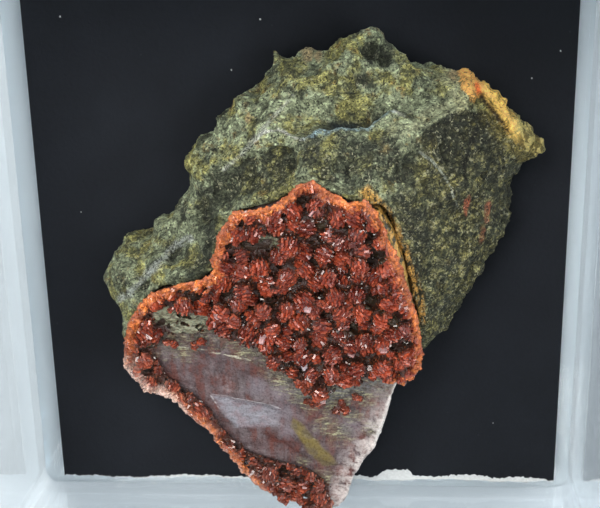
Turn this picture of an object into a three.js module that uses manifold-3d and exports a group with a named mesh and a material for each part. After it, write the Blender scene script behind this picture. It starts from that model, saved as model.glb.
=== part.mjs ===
// Clinoptilolite specimen: a crust of brick-red zeolite rosettes on a pale vein slab, grown on a
// grey-green altered rock that lies on a black card in the base of a small clear box.
//
// Units are millimetres. The box lies flat: +Z points out of its open side, +X runs to the
// specimen's right, where the rock ends in a horn, and +Y runs to its rocky top end. The origin is
// the middle of the box's underside.

import * as THREE from 'three';
import { mergeVertices } from 'three/addons/utils/BufferGeometryUtils.js';
import Module from 'manifold-3d';

const wasm = await Module();
wasm.setup();

// Box and card
const BOX_SIDE = 51.2;
const BOX_HEIGHT = 28;
const BOX_WALL = 1.4;
const BOX_FLOOR = 1.5;
const BOX_OUTER_RADIUS = 2.6;
const BOX_INNER_RADIUS = 1.2;
const RIM_STEP_HEIGHT = 2.4;
const RIM_STEP_DEPTH = 0.6;
const CARD_WIDTH = 45.2;
const CARD_LENGTH = 45.9;
const CARD_THICKNESS = 0.5;
const CARD_MIDDLE_X = 0.27;
const CARD_MIDDLE_Y = -0.5;
const CARD_TOP = BOX_FLOOR + CARD_THICKNESS;

// The vein slab is a flat layer that slopes down to its pointed lower end: its top lies on this
// plane, and the crust stands on the same plane.
const VEIN_HEIGHT = 13.6;
const VEIN_RISE_X = 0.05;
const VEIN_RISE_Y = 0.21;
const veinTop = (x, y) => VEIN_HEIGHT + VEIN_RISE_X * x + VEIN_RISE_Y * y;

const SLAB_THICKNESS = 3.0;
const SLAB_RIM_DEPTH = 0.1;
const SLAB_SIDE_DEPTH = 1.65;
const SLAB_LOWER_INSET = 0.6;
const CRUST_THICKNESS = 0.9;
const CRUST_SIDE_HEIGHT = 0.54;
const CRUST_FLARE = 0.3;
const SEAM_GAP = 0.3;
const ENVELOPE_HEIGHT = 12;

// Grain of the facets: how far their corners stand apart, and how far they are moved at random
const ROCK_FACET = 0.82;
const ROCK_EDGE = 0.85;
const ROCK_RAGGED = 0.16;
const ROCK_ROUGHNESS = 0.42;
const SLAB_FACET = 2.6;
const SLAB_EDGE = 1.5;
const CRUST_EDGE = 0.95;
const CRUST_RAGGED = 0.12;
const CRUST_ROUGHNESS = 0.5;
const SCATTER_LOOSENESS = 0.6;

// Rock: its flank as rings of corners, with the height of each as a share of the rim's, its width
// as a share of the rim's, and how far its bulges and its steps go. The flank keeps near its full
// width halfway down, then draws in to the foot on the card.
const ROCK_FOOT = { share: 0, scale: 0.9, bulge: 0.02, step: 0 };
const ROCK_UPPER_FLANK = { share: 0.72, scale: 0.995, bulge: 0.025, step: 0.7 };
const ROCK_LOWER_FLANK = { share: 0.34, scale: 0.96, bulge: 0.035, step: 0.6 };
const BULGE_WAVE = { alongX: 0.55, alongY: 0.5, turnX: 7, turnY: 5 };

// Rosettes of the crust: ball-shaped lumps of grown-together crystals
const ROSETTE_RADIUS = 0.9;
const ROSETTE_SPACING = 1.6;
const ROSETTE_TOP = 2.1;
const ROSETTE_TOP_CORNERS = 4;
const ROSETTE_TOP_REACH = 0.52;
const ROSETTE_FOOT_CORNERS = 7;
const ROSETTE_INSET = 0.45;
const ROSETTE_GAP = 0.4;
const RIM_CLEARANCE = 0.2;
const FOOT_CLEARANCE = 0.85;
const TABLET_EVERY = 3;
const TABLET_HEIGHT = 1.785;
const TABLET_LEAN = 0.8;

// Rock: its outline seen from above, clockwise from the left knob, as [x, y, height of its rim].
// The stretch under the slab is hidden, and tapers before the slab's tip does.
const ROCK_OUTLINE = [
  [-16.6, -2.6, 5.6], [-16.0, -0.8, 6.0], [-15.4, 0.5, 6.2], [-14.0, 1.7, 7.0], [-12.0, 1.8, 7.2],
  [-11.5, 3.1, 7.2], [-10.1, 3.8, 7.5], [-9.3, 5.0, 7.5], [-8.8, 6.2, 7.4], [-8.5, 7.4, 7.5],
  [-8.6, 8.6, 7.5], [-7.7, 9.8, 7.6], [-6.4, 10.5, 7.5], [-6.0, 12.0, 7.4], [-5.1, 12.7, 7.5],
  [-4.1, 13.6, 7.6], [-2.8, 13.9, 7.4], [-2.3, 14.9, 7.0], [-1.6, 15.6, 6.4], [-1.5, 16.9, 6.0],
  [-0.5, 16.4, 6.2], [0.4, 16.3, 6.3], [1.6, 17.2, 6.2], [2.8, 16.9, 6.4], [3.6, 17.8, 7.0],
  [5.2, 18.4, 7.8], [6.7, 18.6, 8.0], [7.6, 17.8, 8.0], [9.1, 17.0, 8.0], [9.5, 15.9, 8.2],
  [11.4, 15.6, 8.6], [12.9, 15.4, 9.0], [13.5, 15.3, 9.2], [14.5, 14.6, 9.2], [15.4, 13.8, 9.0],
  [16.2, 12.7, 9.0], [17.6, 12.0, 9.0], [18.8, 11.1, 9.0], [19.5, 10.2, 8.8], [19.7, 9.4, 8.6],
  [19.2, 8.7, 8.5], [18.2, 8.2, 8.2], [17.7, 7.2, 7.8], [17.7, 5.4, 7.2], [17.5, 3.2, 7.0],
  [16.9, 1.8, 7.0], [16.4, 0.7, 7.0], [15.6, -0.4, 7.0], [14.9, -2.2, 7.0], [14.0, -3.5, 7.0],
  [13.2, -4.8, 7.0], [12.9, -5.9, 7.0], [11.8, -7.0, 7.2], [10.6, -7.8, 7.6], [8.4, -9.4, 7.6],
  [6.2, -11.2, 7.2], [4.8, -13.6, 6.6], [2.6, -15.8, 6.0], [0.2, -16.6, 5.8], [-2.2, -15.4, 6.2],
  [-5.2, -12.6, 6.8], [-8.6, -10.2, 7.0], [-11.6, -9.4, 7.2], [-13.8, -8.8, 7.0], [-14.9, -7.6, 7.0],
  [-15.0, -6.0, 6.8], [-15.2, -4.9, 6.4], [-15.9, -3.9, 6.0],
];

// Rock: the high and low points that carry its relief, as [x, y, height].
const ROCK_RELIEF = [
  // ledge across the upper half
  [-3.4, 10.1, 12.4], [-1.8, 11.2, 13.1], [0.9, 11.4, 13.9], [2.4, 12.0, 13.9], [4.4, 11.7, 14.2],
  [6.6, 11.9, 13.9], [8.3, 12.6, 13.4], [10.1, 12.9, 12.7], [12.3, 13.4, 11.6],
  // groove beyond the ledge
  [-2.7, 11.7, 10.9], [0.6, 12.4, 11.1], [2.7, 12.9, 10.6], [4.8, 12.7, 10.6], [6.8, 13.0, 10.5],
  [8.5, 13.6, 10.4], [10.4, 14.0, 10.4],
  // lumps between the groove and the top edge
  [-5.0, 11.2, 9.2], [-3.6, 12.8, 9.4], [-0.9, 14.0, 10.0], [-0.7, 15.6, 8.2], [1.2, 14.6, 10.9],
  [2.4, 15.8, 9.2], [3.6, 14.4, 11.3], [4.6, 16.4, 10.6], [5.9, 15.0, 11.6], [5.3, 17.4, 9.8],
  [6.1, 17.4, 9.0], [7.0, 17.6, 9.6], [7.9, 16.2, 10.5], [8.4, 14.9, 10.4], [10.2, 15.0, 10.2],
  [12.0, 14.7, 10.4], [13.3, 14.7, 10.6],
  // crest between the light upper side and the dark fracture face
  [5.4, 10.5, 15.2], [7.3, 10.8, 14.8], [8.5, 11.2, 14.4], [9.8, 12.0, 13.5], [11.7, 12.9, 12.2],
  [13.4, 13.4, 11.4], [14.6, 12.4, 11.3], [15.7, 11.5, 10.9], [16.8, 10.8, 10.4], [18.4, 10.2, 9.8],
  // bulge behind the crust, with a valley running down it
  [-0.6, 8.4, 14.6], [1.0, 10.5, 15.0], [1.2, 9.6, 16.0], [3.6, 10.2, 15.8], [4.6, 8.6, 16.2],
  [6.9, 9.6, 14.4], [6.9, 8.2, 15.0], [8.6, 9.6, 15.0], [8.4, 7.8, 15.2],
  // hollows at the upper left of the crust
  [-2.4, 9.3, 11.9], [-0.6, 9.8, 12.7], [-4.4, 7.8, 11.3], [-3.6, 9.0, 12.2], [-3.2, 7.4, 13.6],
  // left flank down to the knob
  [-5.0, 9.6, 10.4], [-6.6, 8.4, 10.6], [-6.2, 6.2, 11.9], [-7.3, 4.4, 11.2], [-5.6, 4.6, 13.6],
  [-6.9, 2.0, 12.9], [-8.9, 2.4, 10.6], [-8.0, 1.2, 13.2], [-10.6, 1.2, 10.0], [-10.2, 0.2, 12.4],
  [-12.2, 0.2, 9.6], [-13.8, 0.2, 8.8], [-14.6, -1.6, 9.2], [-13.2, -1.4, 10.4], [-13.7, -3.4, 10.6],
  [-15.3, -3.0, 7.8], [-14.2, -5.8, 9.4],
  // dark fracture face, ribbed towards the lower right
  [9.4, 4.6, 13.8], [9.8, 1.4, 13.2], [10.6, -2.0, 12.4], [11.0, -5.0, 11.2], [10.9, 8.6, 13.4],
  [11.8, 6.4, 13.2], [12.0, 9.6, 12.4], [13.6, 9.0, 12.2], [12.9, 5.6, 11.6], [13.6, 3.6, 11.6],
  [12.0, 2.6, 12.6], [13.2, 0.4, 11.4], [14.6, 6.8, 11.0], [15.4, 9.6, 11.0], [16.4, 7.4, 9.8],
  [15.8, 4.2, 9.6], [14.8, 1.6, 9.8], [13.8, -1.6, 9.4], [12.2, -4.2, 9.6], [17.2, 9.2, 9.8],
  // under the slab
  [7.0, -9.4, 9.4], [4.0, -12.4, 8.2], [0.4, -14.2, 7.6], [-4.2, -11.0, 8.6], [-8.4, -8.6, 9.4],
  [-12.0, -7.4, 10.0], [0.0, 0.0, 14.0], [-6.0, -4.0, 12.0], [5.0, -5.0, 12.0],
];

// Slab: its outline from the top, clockwise. The lower right edge is one clean break.
const SLAB_OUTLINE = [
  [-3.7, 6.0], [-2.6, 6.2], [-1.0, 6.8], [0.4, 7.7], [2.2, 8.6], [3.4, 7.8], [4.8, 7.0], [6.9, 6.6],
  [7.5, 5.6], [8.1, 4.1], [8.6, 2.4], [9.1, 0.0], [9.6, -2.6], [9.9, -5.2], [9.8, -7.0], [8.6, -8.2],
  [8.1, -9.5], [7.6, -11.4], [7.1, -13.3], [6.6, -15.2], [5.5, -16.9], [4.7, -18.8], [4.2, -20.6],
  [3.5, -22.0], [2.6, -22.2], [1.6, -21.7], [0.4, -21.0], [-1.3, -20.1], [-2.7, -19.4],
  [-3.9, -18.1], [-5.2, -16.4], [-6.4, -14.6], [-7.2, -13.2], [-8.4, -11.9], [-9.8, -10.3],
  [-11.4, -9.6], [-12.7, -8.4], [-13.3, -7.2], [-13.4, -5.8], [-12.6, -3.8], [-11.6, -2.1],
  [-10.2, -0.9], [-8.2, -0.5], [-6.4, 0.4], [-5.5, 1.2], [-5.4, 2.6], [-4.8, 4.2],
];

// Slab: cleavage steps and hollows of the bare part, as [x, y, depth below the vein's plane].
const SLAB_RELIEF = [
  [-9.2, -6.4, 0.25], [-6.2, -6.2, 0.1], [-5.7, -6.4, 0.45], [-5.6, -9.6, 0.45], [-6.1, -9.6, 0.1],
  [-8.0, -9.8, 0.3], [-2.6, -8.0, 0.35], [-2.0, -11.2, 0.1], [-5.0, -10.6, 0.1], [-2.3, -11.7, 0.5],
  [-5.2, -11.2, 0.5], [-3.2, -14.0, 0.6], [-0.6, -12.4, 0.3], [0.8, -12.9, 0.0], [2.1, -14.9, 0.0],
  [3.4, -16.9, 0.0], [2.4, -17.6, 0.2], [0.4, -15.2, 0.2], [-0.9, -16.2, 0.5], [3.2, -12.4, 0.3],
  [4.4, -14.6, 0.5], [5.2, -12.2, 0.2], [6.2, -12.6, 0.1], [6.4, -10.4, 0.3], [4.3, -17.6, 0.5],
  [3.5, -20.0, 0.4],
];

// Crust: its outer edge from the left end over the top to the right, clockwise.
const CRUST_UPPER_EDGE = [
  [-13.3, -5.6], [-13.0, -4.2], [-12.5, -2.9], [-11.7, -1.6], [-10.6, -0.6], [-9.0, -0.1],
  [-7.6, 0.4], [-6.3, 0.8], [-5.8, 1.2], [-5.8, 2.4], [-5.2, 3.9], [-4.5, 5.5], [-3.9, 6.5],
  [-2.6, 6.5], [-1.6, 6.9], [-0.4, 7.4], [0.8, 8.6], [2.1, 9.1], [3.2, 8.2], [4.6, 7.3], [5.9, 7.6],
  [6.7, 6.6], [7.4, 4.7], [8.3, 2.6], [9.0, 0.2], [9.6, -1.9], [9.9, -3.5], [10.3, -5.6],
  [10.0, -7.2], [9.0, -8.1],
];
// Crust: its front edge where it ends on the slab, from right to left.
const CRUST_FRONT_EDGE = [
  [7.9, -8.4], [6.8, -8.2], [6.1, -7.8], [5.0, -8.9], [4.1, -8.8], [3.2, -9.5], [2.5, -9.7],
  [1.7, -9.4], [0.85, -9.1], [0.3, -8.7], [-0.4, -7.7], [-1.5, -7.2], [-2.2, -5.8], [-4.2, -4.9],
  [-6.0, -4.0], [-7.8, -4.2], [-10.3, -4.2], [-10.7, -5.0],
];
// Crust: the inner edge of its rim along the slab's left side, going down to the tip.
const CRUST_RIM_INNER_EDGE = [
  [-11.3, -6.2], [-10.4, -8.4], [-8.2, -10.3], [-7.0, -12.0], [-5.7, -14.2], [-4.3, -16.0],
  [-2.4, -16.7], [0.3, -17.4], [1.8, -18.2], [2.6, -19.4], [2.9, -20.8],
];
// Crust: the outer edge of that rim, coming back up.
const CRUST_RIM_OUTER_EDGE = [
  [2.8, -22.5], [1.6, -22.1], [0.0, -21.2], [-1.5, -20.5], [-2.9, -19.8], [-4.1, -18.4],
  [-5.4, -16.7], [-6.6, -14.8], [-7.4, -13.4], [-8.6, -12.2], [-10.0, -10.5], [-11.6, -9.9],
  [-12.8, -8.8], [-13.6, -7.5],
];
const CRUST_OUTLINE = [
  ...CRUST_UPPER_EDGE, ...CRUST_FRONT_EDGE, ...CRUST_RIM_INNER_EDGE, ...CRUST_RIM_OUTER_EDGE,
];

// Crust: its largest rosettes, as [x, y, radius].
const LARGE_ROSETTES = [
  [3.1, 1.7, 1.35], [3.6, 0.0, 1.3], [5.2, 0.2, 1.2], [5.6, -1.4, 1.25], [1.2, -0.4, 1.35],
  [4.0, -1.5, 1.15], [5.2, -6.6, 1.15], [7.2, -6.4, 1.4], [3.3, -5.2, 1.4], [3.1, -7.0, 1.2],
  [1.6, -7.2, 1.1], [-2.0, 2.4, 1.2], [0.2, 4.2, 1.25], [-3.4, 0.2, 1.2], [2.6, 6.4, 1.2],
];

// Small clusters that stand alone on the slab, each as its rosettes' [x, y, radius].
const CLUSTERS = [
  [[-9.9, -5.15, 0.42], [-9.35, -5.2, 0.45]],
  [[-7.75, -5.4, 0.45], [-7.1, -4.95, 0.46]],
  [[1.05, -10.45, 0.38], [1.65, -10.65, 0.46], [2.2, -10.75, 0.44]],
  [[3.5, -11.35, 0.48], [4.2, -11.25, 0.5], [3.9, -10.55, 0.4]],
  [[5.05, -10.0, 0.42], [5.4, -10.15, 0.38]],
];
const CLUSTER_RISE = 0.3;

const MERGE_DISTANCE = 1e-5;

// Repeatable random numbers, so that the rock's facets are the same on every build.
function randomSource(seed) {
  let state = seed;
  return () => {
    state = (state + 0x6d2b79f5) | 0;
    let mixed = Math.imul(state ^ (state >>> 15), 1 | state);
    mixed = (mixed + Math.imul(mixed ^ (mixed >>> 7), 61 | mixed)) ^ mixed;
    return ((mixed ^ (mixed >>> 14)) >>> 0) / 4294967296;
  };
}

// Twice the signed area of the triangle a, b, c seen from above; positive is counter-clockwise.
function cross(a, b, c) {
  return (b[0] - a[0]) * (c[1] - a[1]) - (b[1] - a[1]) * (c[0] - a[0]);
}

function isInside(point, outline) {
  let inside = false;
  outline.forEach((a, i) => {
    const b = outline[(i + 1) % outline.length];
    const spans = (a[1] > point[1]) !== (b[1] > point[1]);
    if (spans && point[0] < a[0] + ((point[1] - a[1]) * (b[0] - a[0])) / (b[1] - a[1])) inside = !inside;
  });
  return inside;
}

function distanceToOutline(point, outline) {
  let nearest = Infinity;
  outline.forEach((a, i) => {
    const b = outline[(i + 1) % outline.length];
    const run = [b[0] - a[0], b[1] - a[1]];
    const along = ((point[0] - a[0]) * run[0] + (point[1] - a[1]) * run[1]) / (run[0] ** 2 + run[1] ** 2);
    const t = Math.min(1, Math.max(0, along));
    nearest = Math.min(nearest, Math.hypot(a[0] + t * run[0] - point[0], a[1] + t * run[1] - point[1]));
  });
  return nearest;
}

// Delaunay triangles over points seen from above, as counter-clockwise index triples.
function delaunay(points) {
  const FAR = 1000;
  const all = [...points, [-FAR, -FAR], [FAR, -FAR], [0, FAR]];
  const count = points.length;
  const withCircle = (corners) => {
    const [a, b, c] = corners.map((i) => all[i]);
    const d = 2 * cross(a, b, c);
    const ab = (b[0] - a[0]) ** 2 + (b[1] - a[1]) ** 2;
    const ac = (c[0] - a[0]) ** 2 + (c[1] - a[1]) ** 2;
    const x = ((c[1] - a[1]) * ab - (b[1] - a[1]) * ac) / d;
    const y = ((b[0] - a[0]) * ac - (c[0] - a[0]) * ab) / d;
    return { corners, x: a[0] + x, y: a[1] + y, reach: x * x + y * y };
  };
  let triangles = [withCircle([count, count + 1, count + 2])];
  points.forEach((p, index) => {
    const edges = new Map();
    const kept = [];
    for (const triangle of triangles) {
      if ((p[0] - triangle.x) ** 2 + (p[1] - triangle.y) ** 2 >= triangle.reach) {
        kept.push(triangle);
        continue;
      }
      triangle.corners.forEach((from, i) => {
        const to = triangle.corners[(i + 1) % 3];
        if (!edges.delete(`${to} ${from}`)) edges.set(`${from} ${to}`, [from, to]);
      });
    }
    triangles = kept;
    for (const [from, to] of edges.values()) triangles.push(withCircle([from, to, index]));
  });
  return triangles.map((t) => t.corners).filter((corners) => corners.every((i) => i < count));
}

// Height of the faceted surface through points of [x, y, height], at any place inside it.
function heightThrough(points) {
  const triangles = delaunay(points).map((corners) => corners.map((i) => points[i]));
  return (x, y) => {
    const p = [x, y];
    for (const [a, b, c] of triangles) {
      const whole = cross(a, b, c);
      const u = cross(p, b, c) / whole;
      const v = cross(a, p, c) / whole;
      const w = 1 - u - v;
      if (Math.min(u, v, w) >= -1e-6) return u * a[2] + v * b[2] + w * c[2];
    }
    const nearest = points.reduce((best, q) =>
      Math.hypot(q[0] - x, q[1] - y) < Math.hypot(best[0] - x, best[1] - y) ? q : best);
    return nearest[2];
  };
}

// An outline with its long edges parted, so that no edge is longer than step. Each new point is
// moved aside by up to ragged. All the numbers of a point are carried along, its height too.
function refine(outline, step, ragged, random) {
  const points = [];
  outline.forEach((a, i) => {
    const b = outline[(i + 1) % outline.length];
    const length = Math.hypot(b[0] - a[0], b[1] - a[1]);
    const parts = Math.ceil(length / step);
    for (let k = 0; k < parts; k += 1) {
      const point = a.map((value, axis) => value + ((b[axis] - value) * k) / parts);
      const aside = k === 0 ? 0 : (random() - 0.5) * 2 * ragged;
      point[0] += ((b[1] - a[1]) / length) * aside;
      point[1] -= ((b[0] - a[0]) / length) * aside;
      points.push(point);
    }
  });
  return points;
}

// A clockwise outline moved outwards by distance, or inwards if it is negative.
function grow(outline, distance) {
  return outline.map((b, i) => {
    const a = outline[(i + outline.length - 1) % outline.length];
    const c = outline[(i + 1) % outline.length];
    const along = new THREE.Vector2(c[0] - a[0], c[1] - a[1]).normalize();
    return [b[0] - along.y * distance, b[1] + along.x * distance];
  });
}

// Points spread over an outline, about step apart and at least inset from its edge.
function scatter(outline, step, inset, random) {
  const points = [];
  const xs = outline.map((p) => p[0]);
  const ys = outline.map((p) => p[1]);
  const rowHeight = (step * Math.sqrt(3)) / 2;
  let shift = 0;
  for (let y = Math.min(...ys); y < Math.max(...ys); y += rowHeight) {
    shift = step / 2 - shift;
    for (let x = Math.min(...xs) + shift; x < Math.max(...xs); x += step) {
      const loose = step * SCATTER_LOOSENESS;
      const point = [x + (random() - 0.5) * loose, y + (random() - 0.5) * loose];
      if (isInside(point, outline) && distanceToOutline(point, outline) > inset) points.push(point);
    }
  }
  return points;
}

// A closed solid from a faceted top, given as points of [x, y, height] whose first rimCount points
// are its clockwise rim, and from rings of as many points that lead down to a flat foot.
function reliefSolid(top, rimCount, rings) {
  const rim = top.slice(0, rimCount);
  const positions = [...top, ...rings.flat()].flat();
  const faces = delaunay(top).filter(([a, b, c]) => {
    const middle = [0, 1].map((axis) => (top[a][axis] + top[b][axis] + top[c][axis]) / 3);
    return isInside(middle, rim);
  });
  const ringStarts = [0, ...rings.map((_, i) => top.length + i * rimCount)];
  for (let level = 0; level < rings.length; level += 1) {
    const upper = ringStarts[level];
    const lower = ringStarts[level + 1];
    for (let i = 0; i < rimCount; i += 1) {
      const next = (i + 1) % rimCount;
      faces.push([upper + i, upper + next, lower + i], [upper + next, lower + next, lower + i]);
    }
  }
  const foot = rings[rings.length - 1].map((p) => new THREE.Vector2(p[0], p[1]));
  const footStart = ringStarts[rings.length];
  for (const corners of THREE.ShapeUtils.triangulateShape(foot, [])) {
    const [a, b, c] = corners.map((i) => [foot[i].x, foot[i].y]);
    const facesDown = cross(a, b, c) < 0 ? corners : [...corners].reverse();
    faces.push(facesDown.map((i) => footStart + i));
  }
  const geometry = new THREE.BufferGeometry();
  geometry.setAttribute('position', new THREE.Float32BufferAttribute(positions, 3));
  geometry.setIndex(faces.flat());
  return geometry;
}

// A prism over a clockwise outline, from one surface to another.
function prism(outline, lower, upper) {
  const top = outline.map(([x, y]) => [x, y, upper(x, y)]);
  const foot = outline.map(([x, y]) => [x, y, lower(x, y)]);
  return reliefSolid(top, outline.length, [foot]);
}

function toSolid(geometry) {
  const bare = new THREE.BufferGeometry();
  bare.setAttribute('position', geometry.getAttribute('position').clone());
  if (geometry.index) bare.setIndex(geometry.index.clone());
  const merged = mergeVertices(bare, MERGE_DISTANCE);
  const mesh = new wasm.Mesh({
    numProp: 3,
    vertProperties: new Float32Array(merged.getAttribute('position').array),
    triVerts: new Uint32Array(merged.index.array),
  });
  return new wasm.Manifold(mesh);
}

// Takes the outer shell of a solid, without the voids that are sealed between its lumps.
function toGeometry(solid) {
  const shells = solid.decompose();
  const outer = shells.reduce((best, shell) => (shell.volume() > best.volume() ? shell : best));
  const mesh = outer.getMesh();
  const geometry = new THREE.BufferGeometry();
  geometry.setAttribute('position', new THREE.Float32BufferAttribute(mesh.vertProperties, 3));
  geometry.setIndex(Array.from(mesh.triVerts));
  return geometry;
}

function roundedSquare(side, radius, depth) {
  const h = side / 2;
  const shape = new THREE.Shape();
  shape.moveTo(-h + radius, -h);
  shape.lineTo(h - radius, -h);
  shape.absarc(h - radius, -h + radius, radius, -Math.PI / 2, 0);
  shape.absarc(h - radius, h - radius, radius, 0, Math.PI / 2);
  shape.absarc(-h + radius, h - radius, radius, Math.PI / 2, Math.PI);
  shape.absarc(-h + radius, -h + radius, radius, Math.PI, 1.5 * Math.PI);
  return new THREE.ExtrudeGeometry(shape, { depth, bevelEnabled: false, curveSegments: 4 });
}

// Clear tray with a stepped rim that a lid would close over.
function boxBase() {
  const lower = roundedSquare(BOX_SIDE, BOX_OUTER_RADIUS, BOX_HEIGHT - RIM_STEP_HEIGHT);
  const rim = roundedSquare(BOX_SIDE - 2 * RIM_STEP_DEPTH, BOX_OUTER_RADIUS - RIM_STEP_DEPTH, BOX_HEIGHT);
  const pocket = roundedSquare(BOX_SIDE - 2 * BOX_WALL, BOX_INNER_RADIUS, BOX_HEIGHT);
  pocket.translate(0, 0, BOX_FLOOR);
  return toGeometry(toSolid(lower).add(toSolid(rim)).subtract(toSolid(pocket)));
}

function blackCard() {
  const card = new THREE.BoxGeometry(CARD_WIDTH, CARD_LENGTH, CARD_THICKNESS);
  return card.translate(CARD_MIDDLE_X, CARD_MIDDLE_Y, BOX_FLOOR + CARD_THICKNESS / 2);
}

// The room that the slab and the crust take, with the seam around them.
function veinEnvelope() {
  const below = (x, y) => veinTop(x, y) - SLAB_THICKNESS - SEAM_GAP;
  const belowCrust = (x, y) => veinTop(x, y) - SEAM_GAP;
  const above = (x, y) => veinTop(x, y) + ENVELOPE_HEIGHT;
  const frontCorner = [0, -12];
  const crustOutline = grow([...CRUST_UPPER_EDGE, frontCorner], CRUST_FLARE + SEAM_GAP);
  const slabRoom = toSolid(prism(grow(SLAB_OUTLINE, SEAM_GAP), below, above));
  const crustRoom = toSolid(prism(crustOutline, belowCrust, above));
  return slabRoom.add(crustRoom);
}

// One ring of the rock's flank, under its rim. Broad bulges run around it, and its edge steps up and
// down between them.
function flankRing(rim, { share, scale, bulge, step }, random) {
  const { alongX, alongY, turnX, turnY } = BULGE_WAVE;
  return rim.map(([x, y, z]) => {
    const swell = Math.sin(alongX * x + turnX * share) * Math.cos(alongY * y - turnY * share);
    const width = scale + bulge * swell + (random() - 0.5) * 0.4 * bulge;
    const height = CARD_TOP + (z - CARD_TOP) * share + step * (random() - 0.5 + 0.6 * swell);
    return [x * width, y * width, height];
  });
}

function matrixRock() {
  const random = randomSource(11);
  const rim = refine(ROCK_OUTLINE, ROCK_EDGE, ROCK_RAGGED, random);
  const heightAt = heightThrough([...ROCK_OUTLINE, ...ROCK_RELIEF]);
  const grains = scatter(rim, ROCK_FACET, ROCK_FACET * 0.6, random);
  const inner = grains.map(([x, y]) => [x, y, heightAt(x, y) + (random() - 0.5) * 2 * ROCK_ROUGHNESS]);
  const foot = flankRing(rim, ROCK_FOOT, random);
  const upperFlank = flankRing(rim, ROCK_UPPER_FLANK, random);
  const lowerFlank = flankRing(rim, ROCK_LOWER_FLANK, random);
  const flank = [upperFlank, lowerFlank, foot];
  const rock = toSolid(reliefSolid([...rim, ...inner], rim.length, flank));
  return toGeometry(rock.subtract(veinEnvelope()));
}

function paleSlab() {
  const random = randomSource(5);
  const outline = refine(SLAB_OUTLINE, SLAB_EDGE, 0, random);
  const rim = outline.map(([x, y]) => [x, y, veinTop(x, y) - SLAB_RIM_DEPTH]);
  const steps = SLAB_RELIEF.map(([x, y, depth]) => [x, y, veinTop(x, y) - depth]);
  const covered = scatter(outline, SLAB_FACET, SLAB_FACET * 0.5, random)
    .filter(([x, y]) => isInside([x, y], CRUST_OUTLINE))
    .map(([x, y]) => [x, y, veinTop(x, y)]);
  const side = rim.map(([x, y]) => [x, y, veinTop(x, y) - SLAB_SIDE_DEPTH]);
  const foot = grow(outline, -SLAB_LOWER_INSET).map(([x, y]) => [x, y, veinTop(x, y) - SLAB_THICKNESS]);
  return reliefSolid([...rim, ...steps, ...covered], rim.length, [side, foot]);
}

// The corners of one rosette of the crust: a small flat-faced top over a wide foot.
function rosetteCorners([x, y, radius], random) {
  const start = random() * 2 * Math.PI;
  const ring = (count, reach, height) => Array.from({ length: count }, (_, k) => {
    const angle = start + ((k + (random() - 0.5) * 0.5) * 2 * Math.PI) / count;
    const cornerX = x + reach * Math.cos(angle);
    const cornerY = y + reach * Math.sin(angle);
    const looseHeight = height + (random() - 0.5) * CRUST_ROUGHNESS;
    return [cornerX, cornerY, veinTop(cornerX, cornerY) + looseHeight];
  });
  const rise = ROSETTE_TOP * (0.75 + 0.25 * (radius / ROSETTE_RADIUS));
  return {
    top: ring(ROSETTE_TOP_CORNERS, radius * ROSETTE_TOP_REACH, rise),
    foot: ring(ROSETTE_FOOT_CORNERS, radius, CRUST_THICKNESS),
  };
}

// A single flat crystal that stands out of a rosette.
function tablet([x, y, radius], random) {
  const plate = new THREE.BoxGeometry(radius * 1.5, radius * 0.95, radius * 0.42);
  const lean = () => (random() * 2 - 1) * TABLET_LEAN;
  const turn = new THREE.Euler(lean(), lean(), random() * Math.PI);
  plate.applyMatrix4(new THREE.Matrix4().makeRotationFromEuler(turn));
  return toSolid(plate).translate([x, y, veinTop(x, y) + TABLET_HEIGHT]);
}

// The half space above the seam over the vein's plane.
function aboveVein() {
  const reach = 40;
  const square = [[-reach, reach], [reach, reach], [reach, -reach], [-reach, -reach]];
  const lower = (x, y) => veinTop(x, y) + SEAM_GAP;
  return toSolid(prism(square, lower, (x, y) => veinTop(x, y) + ENVELOPE_HEIGHT));
}

function redCrust() {
  const random = randomSource(23);
  const outline = refine(CRUST_OUTLINE, CRUST_EDGE, CRUST_RAGGED, random);
  const looseRim = () => CRUST_THICKNESS + (random() - 0.5) * CRUST_ROUGHNESS;
  const rim = outline.map(([x, y]) => [x, y, veinTop(x, y) + looseRim()]);
  const rosettes = [...LARGE_ROSETTES];
  const apart = (rosette, x, y) => Math.hypot(rosette[0] - x, rosette[1] - y);
  for (const [x, y] of scatter(CRUST_OUTLINE, ROSETTE_SPACING, ROSETTE_INSET, random)) {
    const clear = rosettes.every((other) => apart(other, x, y) > other[2] + ROSETTE_GAP);
    if (clear) rosettes.push([x, y, ROSETTE_RADIUS * (0.85 + 0.35 * random())]);
  }
  const corners = rosettes.map((rosette) => rosetteCorners(rosette, random));
  const isClear = ([x, y], reach, own) => distanceToOutline([x, y], outline) > RIM_CLEARANCE
    && isInside([x, y], outline)
    && rosettes.every((other, i) => i === own || apart(other, x, y) > other[2] * reach);
  const lumps = corners.flatMap(({ top, foot }, own) => [
    ...top.filter((corner) => isClear(corner, ROSETTE_TOP_REACH, own)),
    ...foot.filter((corner) => isClear(corner, FOOT_CLEARANCE, own)),
  ]);
  const flare = grow(outline, CRUST_FLARE);
  const middle = flare.map(([x, y]) => [x, y, veinTop(x, y) + CRUST_SIDE_HEIGHT]);
  const foot = outline.map(([x, y]) => [x, y, veinTop(x, y) + SEAM_GAP]);
  const body = toSolid(reliefSolid([...rim, ...lumps], rim.length, [middle, foot]));
  const tablets = rosettes.filter((_, i) => i % TABLET_EVERY === 0).map((rosette) => tablet(rosette, random));
  return toGeometry(wasm.Manifold.union([body, ...tablets]).intersect(aboveVein()));
}

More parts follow.
